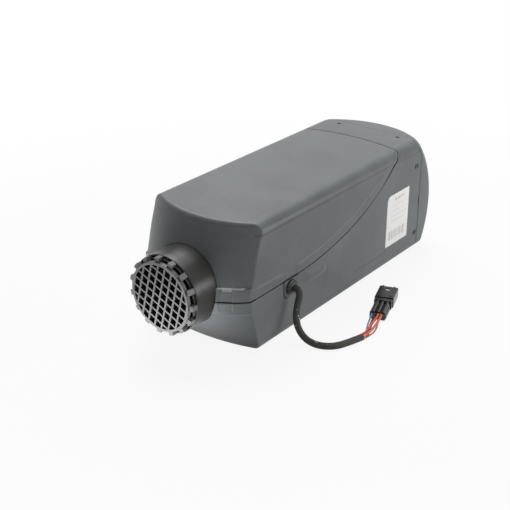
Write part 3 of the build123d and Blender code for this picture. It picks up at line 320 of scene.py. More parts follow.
# %% wire finishes
def insulation(name, colour):
    """Wire insulation: soft clouds of its colour, a little darker and a little paler, under a faint bump."""
    made = Finish(name, Roughness=0.32, Specular_IOR_Level=0.5)
    soft = made.noise(220.0, 2.0)
    made.feed(Base_Color=made.mix(soft, toned(colour, 0.85), toned(colour, 1.12, 0.01)),
              Normal=made.bump(made.noise(900.0, 2.0), 0.3, 0.00003))


insulation("wire_red", (0.72, 0.115, 0.07, 1.0))
insulation("wire_blue", (0.16, 0.38, 0.75, 1.0))
insulation("wire_white", (0.55, 0.53, 0.5, 1.0))
insulation("wire_tan", (0.55, 0.3, 0.11, 1.0))
insulation("lead_black", (0.012, 0.012, 0.013, 1.0))
insulation("lead_red", (0.35, 0.03, 0.02, 1.0))

# %% braided sleeve
sleeve_braid = Finish("sleeve_braid", Roughness=0.62, Specular_IOR_Level=0.35)
along, around, _ = sleeve_braid.axes(sleeve_braid.node("ShaderNodeTexCoord", out="UV"))
threads_around, thread_turns = 9.0, 60.0


def thread_set(turns):
    """One set of threads: a wave whose crests climb the sleeve in that many turns."""
    slant = around * threads_around + along * turns
    return sleeve_braid.node("ShaderNodeMath", {"operation": "PINGPONG"}, {0: slant, 1: 0.5})


weave = thread_set(thread_turns).high(thread_set(-thread_turns)) * 2.0
fray = sleeve_braid.ramp(sleeve_braid.noise(330.0, 1.0), 0.735, 0.75)
thread_tone = sleeve_braid.mix(weave, (0.018, 0.018, 0.016, 1.0), (0.062, 0.062, 0.052, 1.0))
sleeve_braid.feed(Base_Color=sleeve_braid.mix(fray, thread_tone, grey(0.6)),
                  Normal=sleeve_braid.bump(weave, 0.8, 0.0003))

# %% [markdown]
# ## Label paper
# The label is a glossy sheet. It carries a heading rule, four thin rules and a row of bars, all drawn as
# soft-edged boxes in the sheet's own height and length. A noise that is stretched upright breaks them up, so
# that the rules look uneven and the box below turns into bars.

# %% label paper
label_paper = Finish("label_paper", Roughness=0.38, Specular_IOR_Level=0.5)
_, label_y, label_z = label_paper.axes()


def printed_box(low, high, front, rear, soft_z, soft_y):
    """1 inside a box on the label, from low to high and from front to rear, with soft edges."""
    return label_paper.band(label_z, low, high, soft_z) * label_paper.band(label_y, front, rear, soft_y)


upright_place = label_paper.node("ShaderNodeCombineXYZ", {}, {1: label_y, 2: label_z * 0.02})
uneven = label_paper.ramp(label_paper.noise(900.0, 1.0, vector=upright_place), 0.42, 0.56)
rules = printed_box(0.0835, 0.0865, 0.099, 0.122, 0.0004, 0.0006)
for height in (0.0765, 0.0700, 0.0635, 0.0570):
    rules = rules.high(printed_box(height, height + 0.0010, 0.092, 0.127, 0.0003, 0.0006) * 0.6)
bars = printed_box(0.0345, 0.0455, 0.090, 0.126, 0.0002, 0.0002)
ink = rules.high(bars * 0.8) * uneven
label_paper.feed(Base_Color=label_paper.mix(ink * 0.6, grey(0.92, 0.01), grey(0.25)),
                 Normal=label_paper.bump(label_paper.noise(500.0, 2.0), 0.2, 0.00002))

# %% [markdown]
# ## Finishes for the CAD nodes
# Every node of the frame names the slot that its finish comes from, and every finish carries the name of its
# slot. The solids that get no skin of their own are dressed in this way, in one loop.

# %% dress the CAD nodes
slot_of = {part["node"]: part["material_slot"] for part in frame["record"]["subparts"]}
for name, node in frame["nodes"].items():
    node.data.materials.clear()
    node.data.materials.append(finish_of[slot_of[name]].material)
print("CAD nodes dressed:", len(frame["nodes"]))

# %% [markdown]
# ## The harness
# A braided sleeve leaves the grommet, hangs down to the table and runs along it. At its cut end six wires fan
# out into the plug. Each is one NURBS curve with a few given control points, because a cord has no
# corners: a string of straight pieces would look like bent wire. The points follow the route of the CAD
# solid, and the sleeve turns down a little closer to the grommet.

# %% braided sleeve as a cord
def cord_curve(name, node, route, radius, length):
    """A cord on control points in millimetres: one open NURBS spline of order 3 with a round section."""
    data = bpy.data.curves.new(name, "CURVE")
    data.dimensions, data.bevel_depth, data.bevel_resolution = "3D", radius * MM, 5
    data.resolution_u, data.use_fill_caps = 12, True
    spline = data.splines.new("NURBS")
    spline.points.add(len(route) - 1)
    spline.points.foreach_set("co", np.column_stack([np.array(route) * MM, np.ones(len(route))]).ravel())
    spline.order_u = 3
    spline.use_endpoint_u = True
    made = bpy.data.objects.new(name, data)
    bpy.context.scene.collection.objects.link(made)
    data.materials.append(finish_of[slot_of[node]].material)
    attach(made, "heater")
    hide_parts(node)
    print(f"{name}: {length} mm long, {2 * radius} mm thick")


sleeve_route = [
    (77.0, -107.5, 54.7), (80.4, -107.5, 54.6), (83.2, -107.9, 52.9), (84.8, -108.8, 49.4),
    (84.9, -110.4, 44.6), (84.9, -113.2, 37.6), (86.0, -116.4, 28.0), (89.4, -118.8, 18.6),
    (96.0, -119.9, 10.6), (105.4, -119.6, 5.3), (118.0, -117.6, 3.8), (130.6, -109.2, 3.8),
    (137.8, -92.8, 3.8), (142.5, -75.3, 3.8),
]
cord_curve("cord_sleeve", "harness_sleeve", sleeve_route, 3.7, 129.0)

# %% wires of the harness
thick_wire, thin_wire = 1.4, 0.9
wires = {
    "red_outer": (thick_wire, 48.9, [(143.8, -75.6, 5.6), (145.8, -67.9, 5.6), (144.9, -52.4, 8.4),
                                     (140.0, -35.8, 8.2), (137.4, -28.3, 8.2)]),
    "red_inner": (thick_wire, 46.8, [(140.9, -74.9, 5.6), (142.9, -67.1, 5.6), (139.5, -52.0, 8.2),
                                     (136.6, -37.0, 8.3), (134.0, -29.5, 8.3)]),
    "blue": (thin_wire, 46.4, [(140.0, -74.6, 3.1), (142.1, -66.9, 3.1), (134.6, -52.2, 5.4),
                               (130.4, -39.6, 7.6), (127.6, -31.7, 7.8)]),
    "black": (thin_wire, 47.3, [(142.0, -75.2, 3.0), (144.1, -67.4, 3.0), (137.2, -52.4, 5.4),
                                (133.2, -38.2, 7.5), (130.6, -30.6, 7.5)]),
    "white": (thin_wire, 47.7, [(143.0, -75.4, 1.2), (145.1, -67.7, 1.2), (139.2, -53.0, 2.3),
                                (133.0, -38.3, 3.9), (130.4, -30.7, 3.9)]),
    "tan": (thin_wire, 49.2, [(144.7, -75.9, 2.8), (146.8, -68.2, 2.8), (146.1, -53.1, 3.0),
                              (138.7, -36.3, 3.9), (136.1, -28.7, 3.9)]),
}
for colour, (radius, length, route) in wires.items():
    cord_curve(f"cord_{colour}", f"wire_{colour}", route, radius, length)

# %% [markdown]
# ## The casing's form as one rule
# A designer draws such a casing as a straight run with a bowed nose and a domed tail. Seen from above, each
# height is a U: a leg along each side, two small round corners and a bowed front. Working out the U for
# every height gives all the skins at once, and a thin belt, a pocket or a pad is only a small push along
# the normal. The grid's rows follow the seam, so the seam and its belt stay crisp.

# %% casing sizes, millimetres
casing_low, casing_rise, half_width = 2.0, 140.0, 72.0
casing_top = casing_low + casing_rise
shoulder, sill, crown, upright = 11.5, 7.0, 3.6, 3.4
seam_z, seam_gap, wall = 64.3, 0.8, 2.5
axis_z, collar_r = 70.0, 42.7
cap_seam_y, cap_gap = 158.5, 0.3
top_half = half_width - shoulder
edge_soft = 0.3    # how far the open edge of a skin is drawn in, which rounds it a little
nose_back = -150.0    # the front face lies before this place
in_front_half, in_rear_half, in_tail = (0, -40, axis_z), (0, 100, axis_z), (0, 120, axis_z)


def bowed_side(middle, radius):
    """Where a bowed face, middle towards -Y, reaches the side walls."""
    return middle + radius - np.sqrt(radius ** 2 - half_width ** 2)


seam_side = bowed_side(-207.0, 96.5)
nose_rise = np.array([0.0, 46.5, 48.0, 62.3, 76.3, 77.1, 108.0, 140.0])
nose_middle = np.array([-173.0, -203.4, -205.4, -207.0, -204.8, -202.2, -190.9, -177.0])
nose_side = np.array([bowed_side(-173.0, 222.0), seam_side + 2.4, seam_side + 0.8, seam_side, seam_side + 1.0,
                      seam_side + 3.8, -163.2, bowed_side(-177.0, 118.6)])
print("the bowed front ends at the side walls at y", nose_side.round(1))


def rounded_read(rise, places, values, reach=0.25):
    """Straight-line reading of a profile, averaged over a short reach, which rounds its corners."""
    steps = np.linspace(-reach, reach, 7)
    return np.mean([np.interp(rise + s, places, values) for s in steps], axis=0)


def crown_inset(rise):
    """How far the nose draws back where it turns into the top or the underside: a quarter circle."""
    top = np.clip(rise - (casing_rise - crown), 0, crown)
    low = np.clip(crown - rise, 0, crown)
    return 2 * crown - np.sqrt(crown ** 2 - top ** 2) - np.sqrt(crown ** 2 - low ** 2)


# %% the side seam
def arc_from(start, heading, end, count):
    """Points of the circle that leaves start along heading and passes through end, and its last heading."""
    chord = np.array(end) - np.array(start)
    along = np.array([np.cos(heading), np.sin(heading)])
    side = np.array([-along[1], along[0]])
    radius = chord @ chord / (2 * chord @ side)
    turn = 2 * np.arctan2(chord @ side, chord @ along)
    angles = np.linspace(0, turn, count)[:, None]
    centre = np.array(start) + side * radius
    return centre + radius * (np.sin(angles) * along - np.cos(angles) * side), heading + turn


seam_rise_y, seam_bend, seam_last = -111.0, (11.4, seam_z + 18.7), (98.5, casing_low + 130.0)
first_arc, heading = arc_from((seam_rise_y, seam_z), 0.0, seam_bend, 120)
second_arc, heading = arc_from(seam_bend, heading, seam_last, 120)
top_seam_y = seam_last[0] + (casing_top - seam_last[1]) / np.tan(heading)
seam_line = np.vstack([first_arc, second_arc[1:], [(top_seam_y, casing_top)]])
seam_slope = np.gradient(seam_line[:, 1], seam_line[:, 0])
shoulder_z = casing_top - shoulder
shoulder_y = float(np.interp(shoulder_z, seam_line[:, 1], seam_line[:, 0]))
top_sag = 9.0
top_bow = (top_half ** 2 + top_sag ** 2) / (2 * top_sag)


def seam_at(y):
    """Height of the side seam: level, then two arcs and a short straight."""
    return np.interp(y, seam_line[:, 0], seam_line[:, 1])


def seam_stretch(y):
    """What turns a distance square to the seam into one straight up."""
    slope = np.where(y > seam_rise_y, np.interp(y, seam_line[:, 0], seam_slope), 0.0)
    return np.sqrt(1 + slope ** 2)


def top_seam_at(x):
    """The seam across the top: an arc whose middle lies further back than its ends by top_sag."""
    return top_seam_y + top_sag - top_bow + np.sqrt(top_bow ** 2 - x ** 2)


print("seam meets the shoulder at y", round(shoulder_y, 1), "and the top at y", round(top_seam_y, 1))


# %% the domed tail
tail_peak = 55.2    # rise of the rearmost point
centre_arc_y, centre_arc_r = 201.4, 201.0
side_arc_y, side_arc_r = 190.4, 108.0


def tail_y(x, rise):
    """Rear face: a tall arc at the centre, a rounder one at the side walls, and a bow between them."""
    off = rise - tail_peak
    middle = centre_arc_y - centre_arc_r + np.sqrt(centre_arc_r ** 2 - off ** 2)
    side = side_arc_y - side_arc_r + np.sqrt(np.maximum(side_arc_r ** 2 - off ** 2, 0))
    sag = middle - side
    radius = (half_width ** 2 + sag ** 2) / (2 * sag)
    return middle - radius + np.sqrt(radius ** 2 - x ** 2)


print("the rearmost point of the dome is at y", centre_arc_y)

# %% [markdown]
# ## From rows and columns to a U
# Each row has a half width, a rise and an inset; each column is a share of the way from the middle of the
# nose, round the corner and along the leg. Everything is one array operation on the whole grid.

# %% the U grid
def col(values):
    """One value for each row, laid out so that it meets every column."""
    return values[:, None]


def u_grid(half, rise, inset, leg_end, front_share, corner_share, leg_share, height_of):
    """Right half of the U at every row, as an array rows by columns by 3.

    Nose: a circle through the middle and the sides, drawn back by the inset. Corner: a small circle tangent
    to the nose and to the leg. Leg: straight back to leg_end. height_of(y, level) may lift the leg off its
    level.
    """
    middle = rounded_read(rise, nose_rise, nose_middle) + inset
    side = rounded_read(rise, nose_rise, nose_side) + inset
    sag = side - middle
    radius = (half_width ** 2 + sag ** 2) / (2 * sag)
    corner = np.minimum(upright, half * 0.45)
    corner_x = half - corner
    hub = middle + radius
    corner_y = hub - np.sqrt((radius - corner) ** 2 - corner_x ** 2)
    join_angle = np.arctan2(corner_x, hub - corner_y)
    angle = col(join_angle) * front_share[None, :]
    front = np.stack([col(radius) * np.sin(angle), col(hub) - col(radius) * np.cos(angle)], -1)
    turn = col(join_angle) + (np.pi / 2 - col(join_angle)) * corner_share[None, :]
    bend = np.stack([col(corner_x) + col(corner) * np.sin(turn),
                     col(corner_y) - col(corner) * np.cos(turn)], -1)
    leg_y = leg_share(corner_y, leg_end)
    leg = np.stack([np.repeat(col(half), leg_y.shape[1], 1), leg_y], -1)
    plan = np.concatenate([front, bend, leg], 1)
    level = height_of(plan[..., 1], np.repeat(col(rise + casing_low), plan.shape[1], 1))
    return np.stack([plan[..., 0], plan[..., 1], level], -1)


def both_sides(right):
    """The whole U from its right half: the left half is the mirror image, and the middle column is shared."""
    left = right[:, :0:-1] * np.array([-1.0, 1.0, 1.0])
    return np.concatenate([left, right], 1)


def grid_normals(points):
    """Unit normals of a grid, from the cross product of its two directions."""
    down = np.gradient(points, axis=0)
    over = np.gradient(points, axis=1)
    normal = np.cross(over, down)
    return normal / np.maximum(np.linalg.norm(normal, axis=-1, keepdims=True), 1e-9)


def step(value, low, high):
    """Smooth step from 0 at low to 1 at high."""
    t = np.clip((value - low) / (high - low), 0, 1)
    return t * t * (3 - 2 * t)


def window(value, low, high, soft):
    """1 between low and high, falling smoothly to 0 over a soft margin outside."""
    return step(value, low - soft, low) * (1 - step(value, high, high + soft))


def round_box(across, along, radius):
    """Signed distance to a box with round corners, from how far a place is past its corners' centres."""
    outside = np.hypot(np.maximum(across, 0), np.maximum(along, 0))
    return outside + np.minimum(np.maximum(across, along), 0) - radius


print("grid helpers ready")

# %% [markdown]
# ## Cutting holes in a grid
# A port cut by deleting whole cells would have a ragged edge. Here the nearest corners of the cells are first
# pulled onto the outline, then the cells inside it are left out: the edge comes out exactly on the line.

# %% mesh builder
def cells_of(shape, offset=0):
    """Index quads of a grid of rows by columns."""
    index = np.arange(shape[0] * shape[1]).reshape(shape) + offset
    return np.stack([index[:-1, :-1], index[:-1, 1:], index[1:, 1:], index[1:, :-1]], -1).reshape(-1, 4)


def cut_hole(points, quads, distance, plane, where, refit=None):
    """Pull corners onto the outline where distance is 0, then drop the cells inside it.

    distance(a, b) is negative inside; plane names the two axes it reads; where masks the points it may touch.
    A cell that the line crosses from corner to corner is halved along it, and its outer half stays.
    """
    a, b = plane
    value = np.where(where, distance(points[:, a], points[:, b]), 1e9)
    sides = np.concatenate([quads[:, [i, (i + 1) % 4]] for i in range(4)])
    edges = np.unique(np.sort(sides, axis=1), axis=0)
    first, second = value[edges[:, 0]], value[edges[:, 1]]
    crossing = edges[(first * second < 0) & (np.abs(first) < 1e8) & (np.abs(second) < 1e8)]
    one, two = crossing[:, 0], crossing[:, 1]
    nearer = np.unique(np.where(np.abs(value[one]) <= np.abs(value[two]), one, two))
    eps = 1e-3
    for _ in range(3):
        pa, pb = points[nearer, a], points[nearer, b]
        here = distance(pa, pb)
        slope_a = (distance(pa + eps, pb) - distance(pa - eps, pb)) / (2 * eps)
        slope_b = (distance(pa, pb + eps) - distance(pa, pb - eps)) / (2 * eps)
        size = np.maximum(slope_a ** 2 + slope_b ** 2, 1e-6)
        points[nearer, a] -= here * slope_a / size
        points[nearer, b] -= here * slope_b / size
    if refit is not None:
        points[nearer] = refit(points[nearer])
    value[nearer] = 0.0
    inside = value < -1e-6
    outside = value > 1e-6
    corner_in, corner_out = inside[quads], outside[quads]
    mixed = corner_in.any(1) & corner_out.any(1)
    whole = quads[~corner_in.any(1) & corner_out.any(1)]
    cut = quads[mixed]
    on_line = value[cut] == 0
    turn = np.where(on_line[:, 0] & on_line[:, 2], 0, 1)
    ring = np.take_along_axis(cut, (np.arange(4)[None, :] + turn[:, None]) % 4, 1)
    halves = np.concatenate([ring[:, [0, 1, 2]], ring[:, [0, 2, 3]]])
    return points, whole, list(halves[~inside[halves].any(1)])


def place_keys(points):
    """One whole number for each place in millimetres, so that the same places can be found again."""
    steps = np.round(np.asarray(points).reshape(-1, 3) * 50).astype(np.int64) + 50000
    return (steps[:, 0] * 100000 + steps[:, 1]) * 100000 + steps[:, 2]


def make_piece(name, points, faces, finish, body, slot=None, replaces=(), thickness=None, crisp=40.0,
               centre=None, **marks):
    """Mesh from an array of points in millimetres: doubles merged, faces turned outwards, one material.

    An open skin has no inside of its own, so it gets a centre, a point that its faces look away from. Each of
    the marks is a list of places that gets 1 in an attribute of its name, which paints light into the finish:
    painted shade, near black, along a seam, a painted shadow line under the shoulder, and a painted
    highlight.
    Open edges stay sharp, so that two skins which meet edge to edge show no line.
    """
    mesh = bpy.data.meshes.new(name)
    mesh.from_pydata((np.asarray(points) * MM).tolist(), [], [face.tolist() for face in faces])
    loose = bmesh.new()
    loose.from_mesh(mesh)
    bmesh.ops.remove_doubles(loose, verts=loose.verts, dist=0.00002)
    bmesh.ops.dissolve_degenerate(loose, dist=0.000005, edges=loose.edges)
    bmesh.ops.recalc_face_normals(loose, faces=loose.faces)
    loose.to_mesh(mesh)
    loose.free()
    made = bpy.data.objects.new(name, mesh)
    bpy.context.scene.collection.objects.link(made)
    mesh.materials.append(finish.material)
    mesh.polygons.foreach_set("use_smooth", np.full(len(mesh.polygons), True))
    places = np.empty(3 * len(mesh.vertices), np.float32)
    mesh.vertices.foreach_get("co", places)
    for mark, marked in marks.items():
        layer = mesh.attributes.new(mark, "FLOAT", "POINT")
        hit = np.isin(place_keys(places / MM), place_keys(marked))
        layer.data.foreach_set("value", hit.astype(np.float32))
    if centre is not None:
        middles = np.array([p.center for p in mesh.polygons])
        normals = np.array([p.normal for p in mesh.polygons])
        areas = np.array([p.area for p in mesh.polygons])
        if (areas * ((middles - np.array(centre) * MM) * normals).sum(1)).sum() < 0:
            mesh.flip_normals()
    mesh.set_sharp_from_angle(angle=np.radians(crisp))
    edge_of_corner = np.empty(len(mesh.loops), np.int32)
    sharp = np.empty(len(mesh.edges), bool)
    mesh.loops.foreach_get("edge_index", edge_of_corner)
    mesh.edges.foreach_get("use_edge_sharp", sharp)
    open_edge = np.bincount(edge_of_corner, minlength=len(sharp)) == 1
    mesh.edges.foreach_set("use_edge_sharp", sharp | open_edge)
    if thickness:
        walled = made.modifiers.new("wall", "SOLIDIFY")
        walled.thickness, walled.offset, walled.use_even_offset = thickness * MM, -1.0, False
    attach(made, body)
    if replaces:
        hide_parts(*replaces)
    print(f"{name}: {len(mesh.vertices)} points, {len(mesh.polygons)} faces")


# %% [markdown]
# ## Upper cover
# The cover is one hood: front, sides, shoulders and top. Its lowest row lies on the seam; the rows above it
# keep their distance from the seam, where the raised belt runs, and then spread out up to the shoulder. The
# shoulder stands out of the wall by a hair, which leaves a fine shadow line under it, deepened by a painted
# shadow line.

# %% cover rows
belt_rows = np.array([0, 0.35, 1.2, 2.2, 2.9, 4.5, 6.5, 8.5, 10.4, 11.1, 11.8, 12.4,
                      13.1, 13.6, 14.0, 14.4, 14.8, 15.2, 15.8, 16.6])
upper_share = np.linspace(0, 1, 24)[1:]
ring_angle = np.radians(np.linspace(0, 90, 10))
cheek = 0.7    # how far the shoulder stands out of the wall
inward = top_half * np.linspace(0, 1, 24)[1:] ** 1.15


def cover_rows():
    """Rise, half width and inset of every row, and how many rows belong to the wall."""
    above_belt = shoulder_z - seam_z - belt_rows[-1]
    wall_rise = np.concatenate([belt_rows, belt_rows[-1] + above_belt * upper_share]) + seam_z - casing_low
    shoulder_rise = casing_rise - shoulder + shoulder * np.sin(ring_angle)
    rise = np.concatenate([wall_rise, shoulder_rise, np.full(len(inward), casing_rise)])
    half = np.concatenate([np.full(len(wall_rise), half_width - cheek),
                           top_half + shoulder * np.cos(ring_angle), top_half - inward])
    inset = crown_inset(rise) + np.concatenate([np.zeros(len(wall_rise) + len(ring_angle)), inward])
    return rise, np.maximum(half, 0.001), inset, len(wall_rise)


def cover_leg_end(rise, half, wall_count):
    """Where each row ends at the back: at the point where the seam has climbed to it."""
    ends = np.full(len(rise), shoulder_y)
    above = np.arange(len(rise)) >= wall_count
    ends[above] = np.interp(rise[above] + casing_low, seam_line[:, 1], seam_line[:, 0])
    flat = rise >= casing_rise - 1e-6
    ends[flat] = top_seam_at(half[flat])
    return ends


def cover_heights(y, level):
    """Lift the wall rows of the legs so that they follow the seam and close up towards its upper end."""
    lifted = level.copy()
    count = len(belt_rows) + len(upper_share)
    room = np.maximum(shoulder_z - seam_at(y[:count]), 0.0)
    tight = np.minimum(1.0, 0.55 * room / (belt_rows[-1] * seam_stretch(y[:count])))
    near = belt_rows[:, None] * (seam_stretch(y[:len(belt_rows)]) * tight[:len(belt_rows)])
    top_near = belt_rows[-1] * (seam_stretch(y[:count]) * tight)[len(belt_rows):]
    far = top_near + (room[len(belt_rows):] - top_near) * upper_share[:, None]
    lifted[:count] = seam_at(y[:count]) + np.concatenate([near, far])
    return np.where(y > seam_rise_y, lifted, level)


def cover_leg(corner_y, end):
    """Leg columns: closest together by the port, widest along the plain side."""
    share = np.concatenate([np.linspace(0, 0.16, 18)[1:], np.linspace(0.16, 0.30, 28)[1:],
                            np.linspace(0.30, 1, 64)[1:]])
    return col(corner_y) + col(end - corner_y) * share[None, :]


by_pockets = np.linspace(0.58, 0.84, 34)
front_share = np.unique(np.concatenate([np.linspace(0, 1, 52), by_pockets]).round(4))
corner_share = np.linspace(0, 1, 7)[1:]
rise, half, inset, wall_count = cover_rows()
cover = both_sides(u_grid(half, rise, inset, cover_leg_end(rise, half, wall_count), front_share, corner_share,
                          cover_leg, cover_heights))
print("cover grid", cover.shape[:2])

# %% relief of the cover
port_y, pocket_x, pocket_half = -107.5, 52.0, 5.6


def in_pockets(x, y):
    """1 within the width of the two pockets in the front face, with soft edges."""
    return window(np.abs(x), pocket_x - pocket_half, pocket_x + pocket_half, 0.5) * (y < nose_back)


def cover_relief(points):
    """Millimetres that the skin stands out: the belt on the sides, and two pockets pressed into the front."""
    x, y, z = points[..., 0], points[..., 1], points[..., 2]
    above = (z - seam_at(y)) / seam_stretch(y)
    side = step(np.abs(x), half_width - 3.0, half_width - 0.4) * step(y, -173.0, -166.0)
    belt = side * (1 - step(above, 9.8, 12.6)) * (1 - step(y, 60.0, 92.0))
    belt *= 1 - window(y, port_y - 12.6, port_y + 11.0, 0.8)
    depth = np.interp(z - seam_z, [11.6, 13.4, 14.0, 14.8], [1.2, 2.4, 2.4, 0.0])
    return 0.8 * belt - depth * in_pockets(x, y)


def outward_normals(points, centre):
    """The grid's normals, turned so that most of them look away from the centre."""
    normals = grid_normals(points)
    return normals * np.sign(((points - np.array(centre)) * normals).sum())


def nose_y(x, z):
    """Place of the bowed front face: on each level a circle through its middle and its sides."""
    middle = rounded_read(z - casing_low, nose_rise, nose_middle)
    side = rounded_read(z - casing_low, nose_rise, nose_side)
    bow = (half_width ** 2 + (side - middle) ** 2) / (2 * (side - middle))
    return middle + bow - np.sqrt(bow ** 2 - x ** 2)


def cut_at_collar(points, quads, radius, keep_below):
    """Cut the collar's passage into a nose grid; the pulled corners are put back on the bowed face."""
    def outline(x, z):
        """A circle round the axis; in the cover it runs straight down below the axis, so the cover lifts."""
        return np.where((z > axis_z) | keep_below, np.hypot(x, z - axis_z), np.abs(x)) - radius

    def back_on_nose(moved):
        moved[:, 1] = nose_y(moved[:, 0], moved[:, 2])
        return moved

    where = (points[:, 1] < nose_back) & (points[:, 2] > 15) & (points[:, 2] < 130)
    return cut_hole(points, quads, outline, (0, 2), where, back_on_nose)


# %% marks and mesh of the cover
cover_passage, shell_passage, inner_passage = 43.5, 43.4, 43.6    # radii of the holes for the collar
cover_normals = outward_normals(cover, in_front_half)
cover = cover + cover_normals * cover_relief(cover)[..., None]
cover[0] -= cover_normals[0] * edge_soft
cover[:, [0, -1]] -= cover_normals[:, [0, -1]] * edge_soft
flat_cover, quads, halves = cut_at_collar(cover.reshape(-1, 3).copy(), cells_of(cover.shape[:2]),
                                          cover_passage, False)


def front_rows(low, high, across):
    """Places of the rows between two heights over the seam, on the front face, where across(x) is true."""
    rows = cover[np.flatnonzero((belt_rows > low) & (belt_rows < high))]
    return rows[(rows[..., 1] < nose_back) & across(np.abs(rows[..., 0]))]


# Painted light on the cover: a painted highlight on the front ledge and the pocket lips, a painted shadow
# line under the shoulder, and painted shade, near black, along the seam.
highlit_ledge = front_rows(13.9, 14.9, lambda x: x < 66.5)
highlit_lips = front_rows(13.0, 13.9, lambda x: np.abs(x - pocket_x) < 5.2)
under_shoulder = cover[wall_count - 1:wall_count + 1]
make_piece("upper_cover_skin", flat_cover, list(quads) + halves, casing_plastic, "cover", "casing_plastic",
           ["upper_cover"], thickness=wall, crisp=75, centre=in_front_half, seam=cover[:2],
           fold=under_shoulder[np.abs(under_shoulder[..., 0]) > 66.0],
           rub=np.concatenate([highlit_ledge, highlit_lips]))

# %% [markdown]
# ## Lower shell
# The shell is a tray under the cover. The same U rows serve: from the middle of the underside out to the
# sill, round it and up the wall. On the legs the wall rows fan out, because the seam climbs towards the back.

# %% lower shell rows
def spread(start, end, pitch):
    """Evenly spaced places from start to end, about pitch apart."""
    return np.linspace(start, end, max(2, int(round(abs(end - start) / pitch)) + 1))


sill_angle = np.radians(np.linspace(0, 90, 9))
floor_inward = spread(half_width - sill, 0, 2.4)[:-1]
front_top = seam_z - seam_gap
wall_z = np.unique(np.concatenate([spread(casing_low + sill, front_top, 1.6), [front_top - 0.35],
                                   casing_low + np.array([45.9, 46.5, 47.1, 47.5, 48.0, 48.6])]).round(3))[1:]
wall_share = (wall_z - casing_low - sill) / (front_top - casing_low - sill)
rear_share = np.linspace(0, 1, 11)
slope_there = float(np.interp(shoulder_y, seam_line[:, 0], seam_slope))
corner_gap = seam_gap * np.sqrt(1 + slope_there ** 2) / slope_there
leg_start, tail_start = nose_back, 140.0


def shell_rows():
    """Rise, half width and inset of every row: underside from the middle out, sill, wall."""
    rise = np.concatenate([np.zeros(len(floor_inward)), sill * (1 - np.cos(sill_angle)), wall_z - casing_low])
    half = np.concatenate([half_width - sill - floor_inward, half_width - sill + sill * np.sin(sill_angle),
                           np.full(len(wall_z), half_width)])
    inset = crown_inset(rise)
    inset[:len(floor_inward)] += 0.2 * floor_inward
    return rise, np.maximum(half, 0.001), inset


def shell_heights(y, level):
    """Wall rows share the height between the sill and the seam, or the shoulder where the seam is past it."""
    sill_top = casing_low + sill
    top = np.minimum(seam_at(y) - seam_gap * seam_stretch(y), shoulder_z)
    count = len(wall_share)
    level[-count:] = sill_top + (top[-count:] - sill_top) * wall_share[:, None]
    return level


def shell_leg(corner_y, end):
    """Leg columns: from the corner to one common place, then close together at the port and by the pad."""
    behind = shoulder_y + corner_gap
    common = np.concatenate([spread(leg_start, -122, 4), spread(-122, -93, 1.3)[1:],
                             spread(-93, -40, 2.2)[1:], spread(-40, behind, 4)[1:],
                             behind + (tail_start - behind) * rear_share[1:]])
    first = col(corner_y) + col(leg_start - corner_y) * np.array([0.25, 0.5, 0.75])[None, :]
    return np.concatenate([first, np.repeat(common[None, :], len(corner_y), 0)], 1)


rise, half, inset = shell_rows()
shell = both_sides(u_grid(half, rise, inset, np.full(len(rise), tail_start), front_share, corner_share,
                          shell_leg, shell_heights))
print("lower shell grid", shell.shape[:2])

# %% relief and openings of the lower shell
insert_width, insert_depth, port_room, port_corner = 23.5, 20.0, 0.55, 7.0
port_half, port_low = insert_width / 2 + port_room, seam_z - insert_depth - port_room
foot_half_x, foot_half_y, foot_corner = 42.5, 52.5, 8


def port_outline(y, z):
    """Distance to the U-shaped port: a strip with round lower corners, open at the seam."""
    return round_box(np.abs(y - port_y) - port_half + port_corner, port_low + port_corner - z, port_corner)


def foot_outline(x, y):
    """Distance to the opening that the exchanger's foot fills: a rectangle with round corners."""
    across, along = np.abs(x) - foot_half_x + foot_corner, np.abs(y) - foot_half_y + foot_corner
    return round_box(across, along, foot_corner)


def shell_relief(points):
    """A low pad on each side, behind the port, and the shallow lower ends of the two front pockets."""
    x, y, z = points[..., 0], points[..., 1], points[..., 2]
    pad = window(y, -75.0, -45.0, 1.6) * window(z, 48.5, 56.5, 1.4) * (np.abs(x) > 71)
    pocket = in_pockets(x, y) * step(z, seam_z - 9.6, seam_z - 8.8)
    return 0.75 * pad - 0.4 * pocket


# %% holes in the lower shell
shell_normals = outward_normals(shell, in_front_half)
shell = shell + shell_normals * shell_relief(shell)[..., None]
shell[-1] -= shell_normals[-1] * edge_soft * (shell[-1, :, 1:2] < shoulder_y + corner_gap)
flat_shell, quads, halves = cut_at_collar(shell.reshape(-1, 3).copy(), cells_of(shell.shape[:2]),
                                          shell_passage, True)
x, y, z = flat_shell.T
near_port = (np.abs(x) > 60) & (np.abs(y - port_y) < 22) & (z > 30)
flat_shell, quads, port_halves = cut_hole(flat_shell, quads, port_outline, (1, 2), near_port)
underside = flat_shell[:, 2] < casing_low + 0.4
flat_shell, quads, foot_halves = cut_hole(flat_shell, quads, foot_outline, (0, 1), underside)
port_edge = near_port & (np.abs(port_outline(flat_shell[:, 1], flat_shell[:, 2])) < 0.02)
print("corners on the edge of the ports:", int(port_edge.sum()))

# %% shoulders and top of the shell, behind the cover
arch_x = np.concatenate([top_half + shoulder * np.cos(ring_angle), spread(top_half, 0, 2.5)[1:]])
arch_z = np.concatenate([shoulder_z + shoulder * np.sin(ring_angle),
                         np.full(len(arch_x) - len(ring_angle), casing_top)])
corner_start = np.interp(arch_z[:len(ring_angle)], seam_line[:, 1], seam_line[:, 0])
arch_start = np.concatenate([corner_start, top_seam_at(arch_x[len(ring_angle):])]) + corner_gap


def arch_grid():
    """Right half of the arch: from the seam, along each line of the section, back to the tail."""
    y = col(arch_start) + col(tail_start - arch_start) * rear_share[None, :]
    return np.stack([np.repeat(col(arch_x), y.shape[1], 1), y, np.repeat(col(arch_z), y.shape[1], 1)], -1)


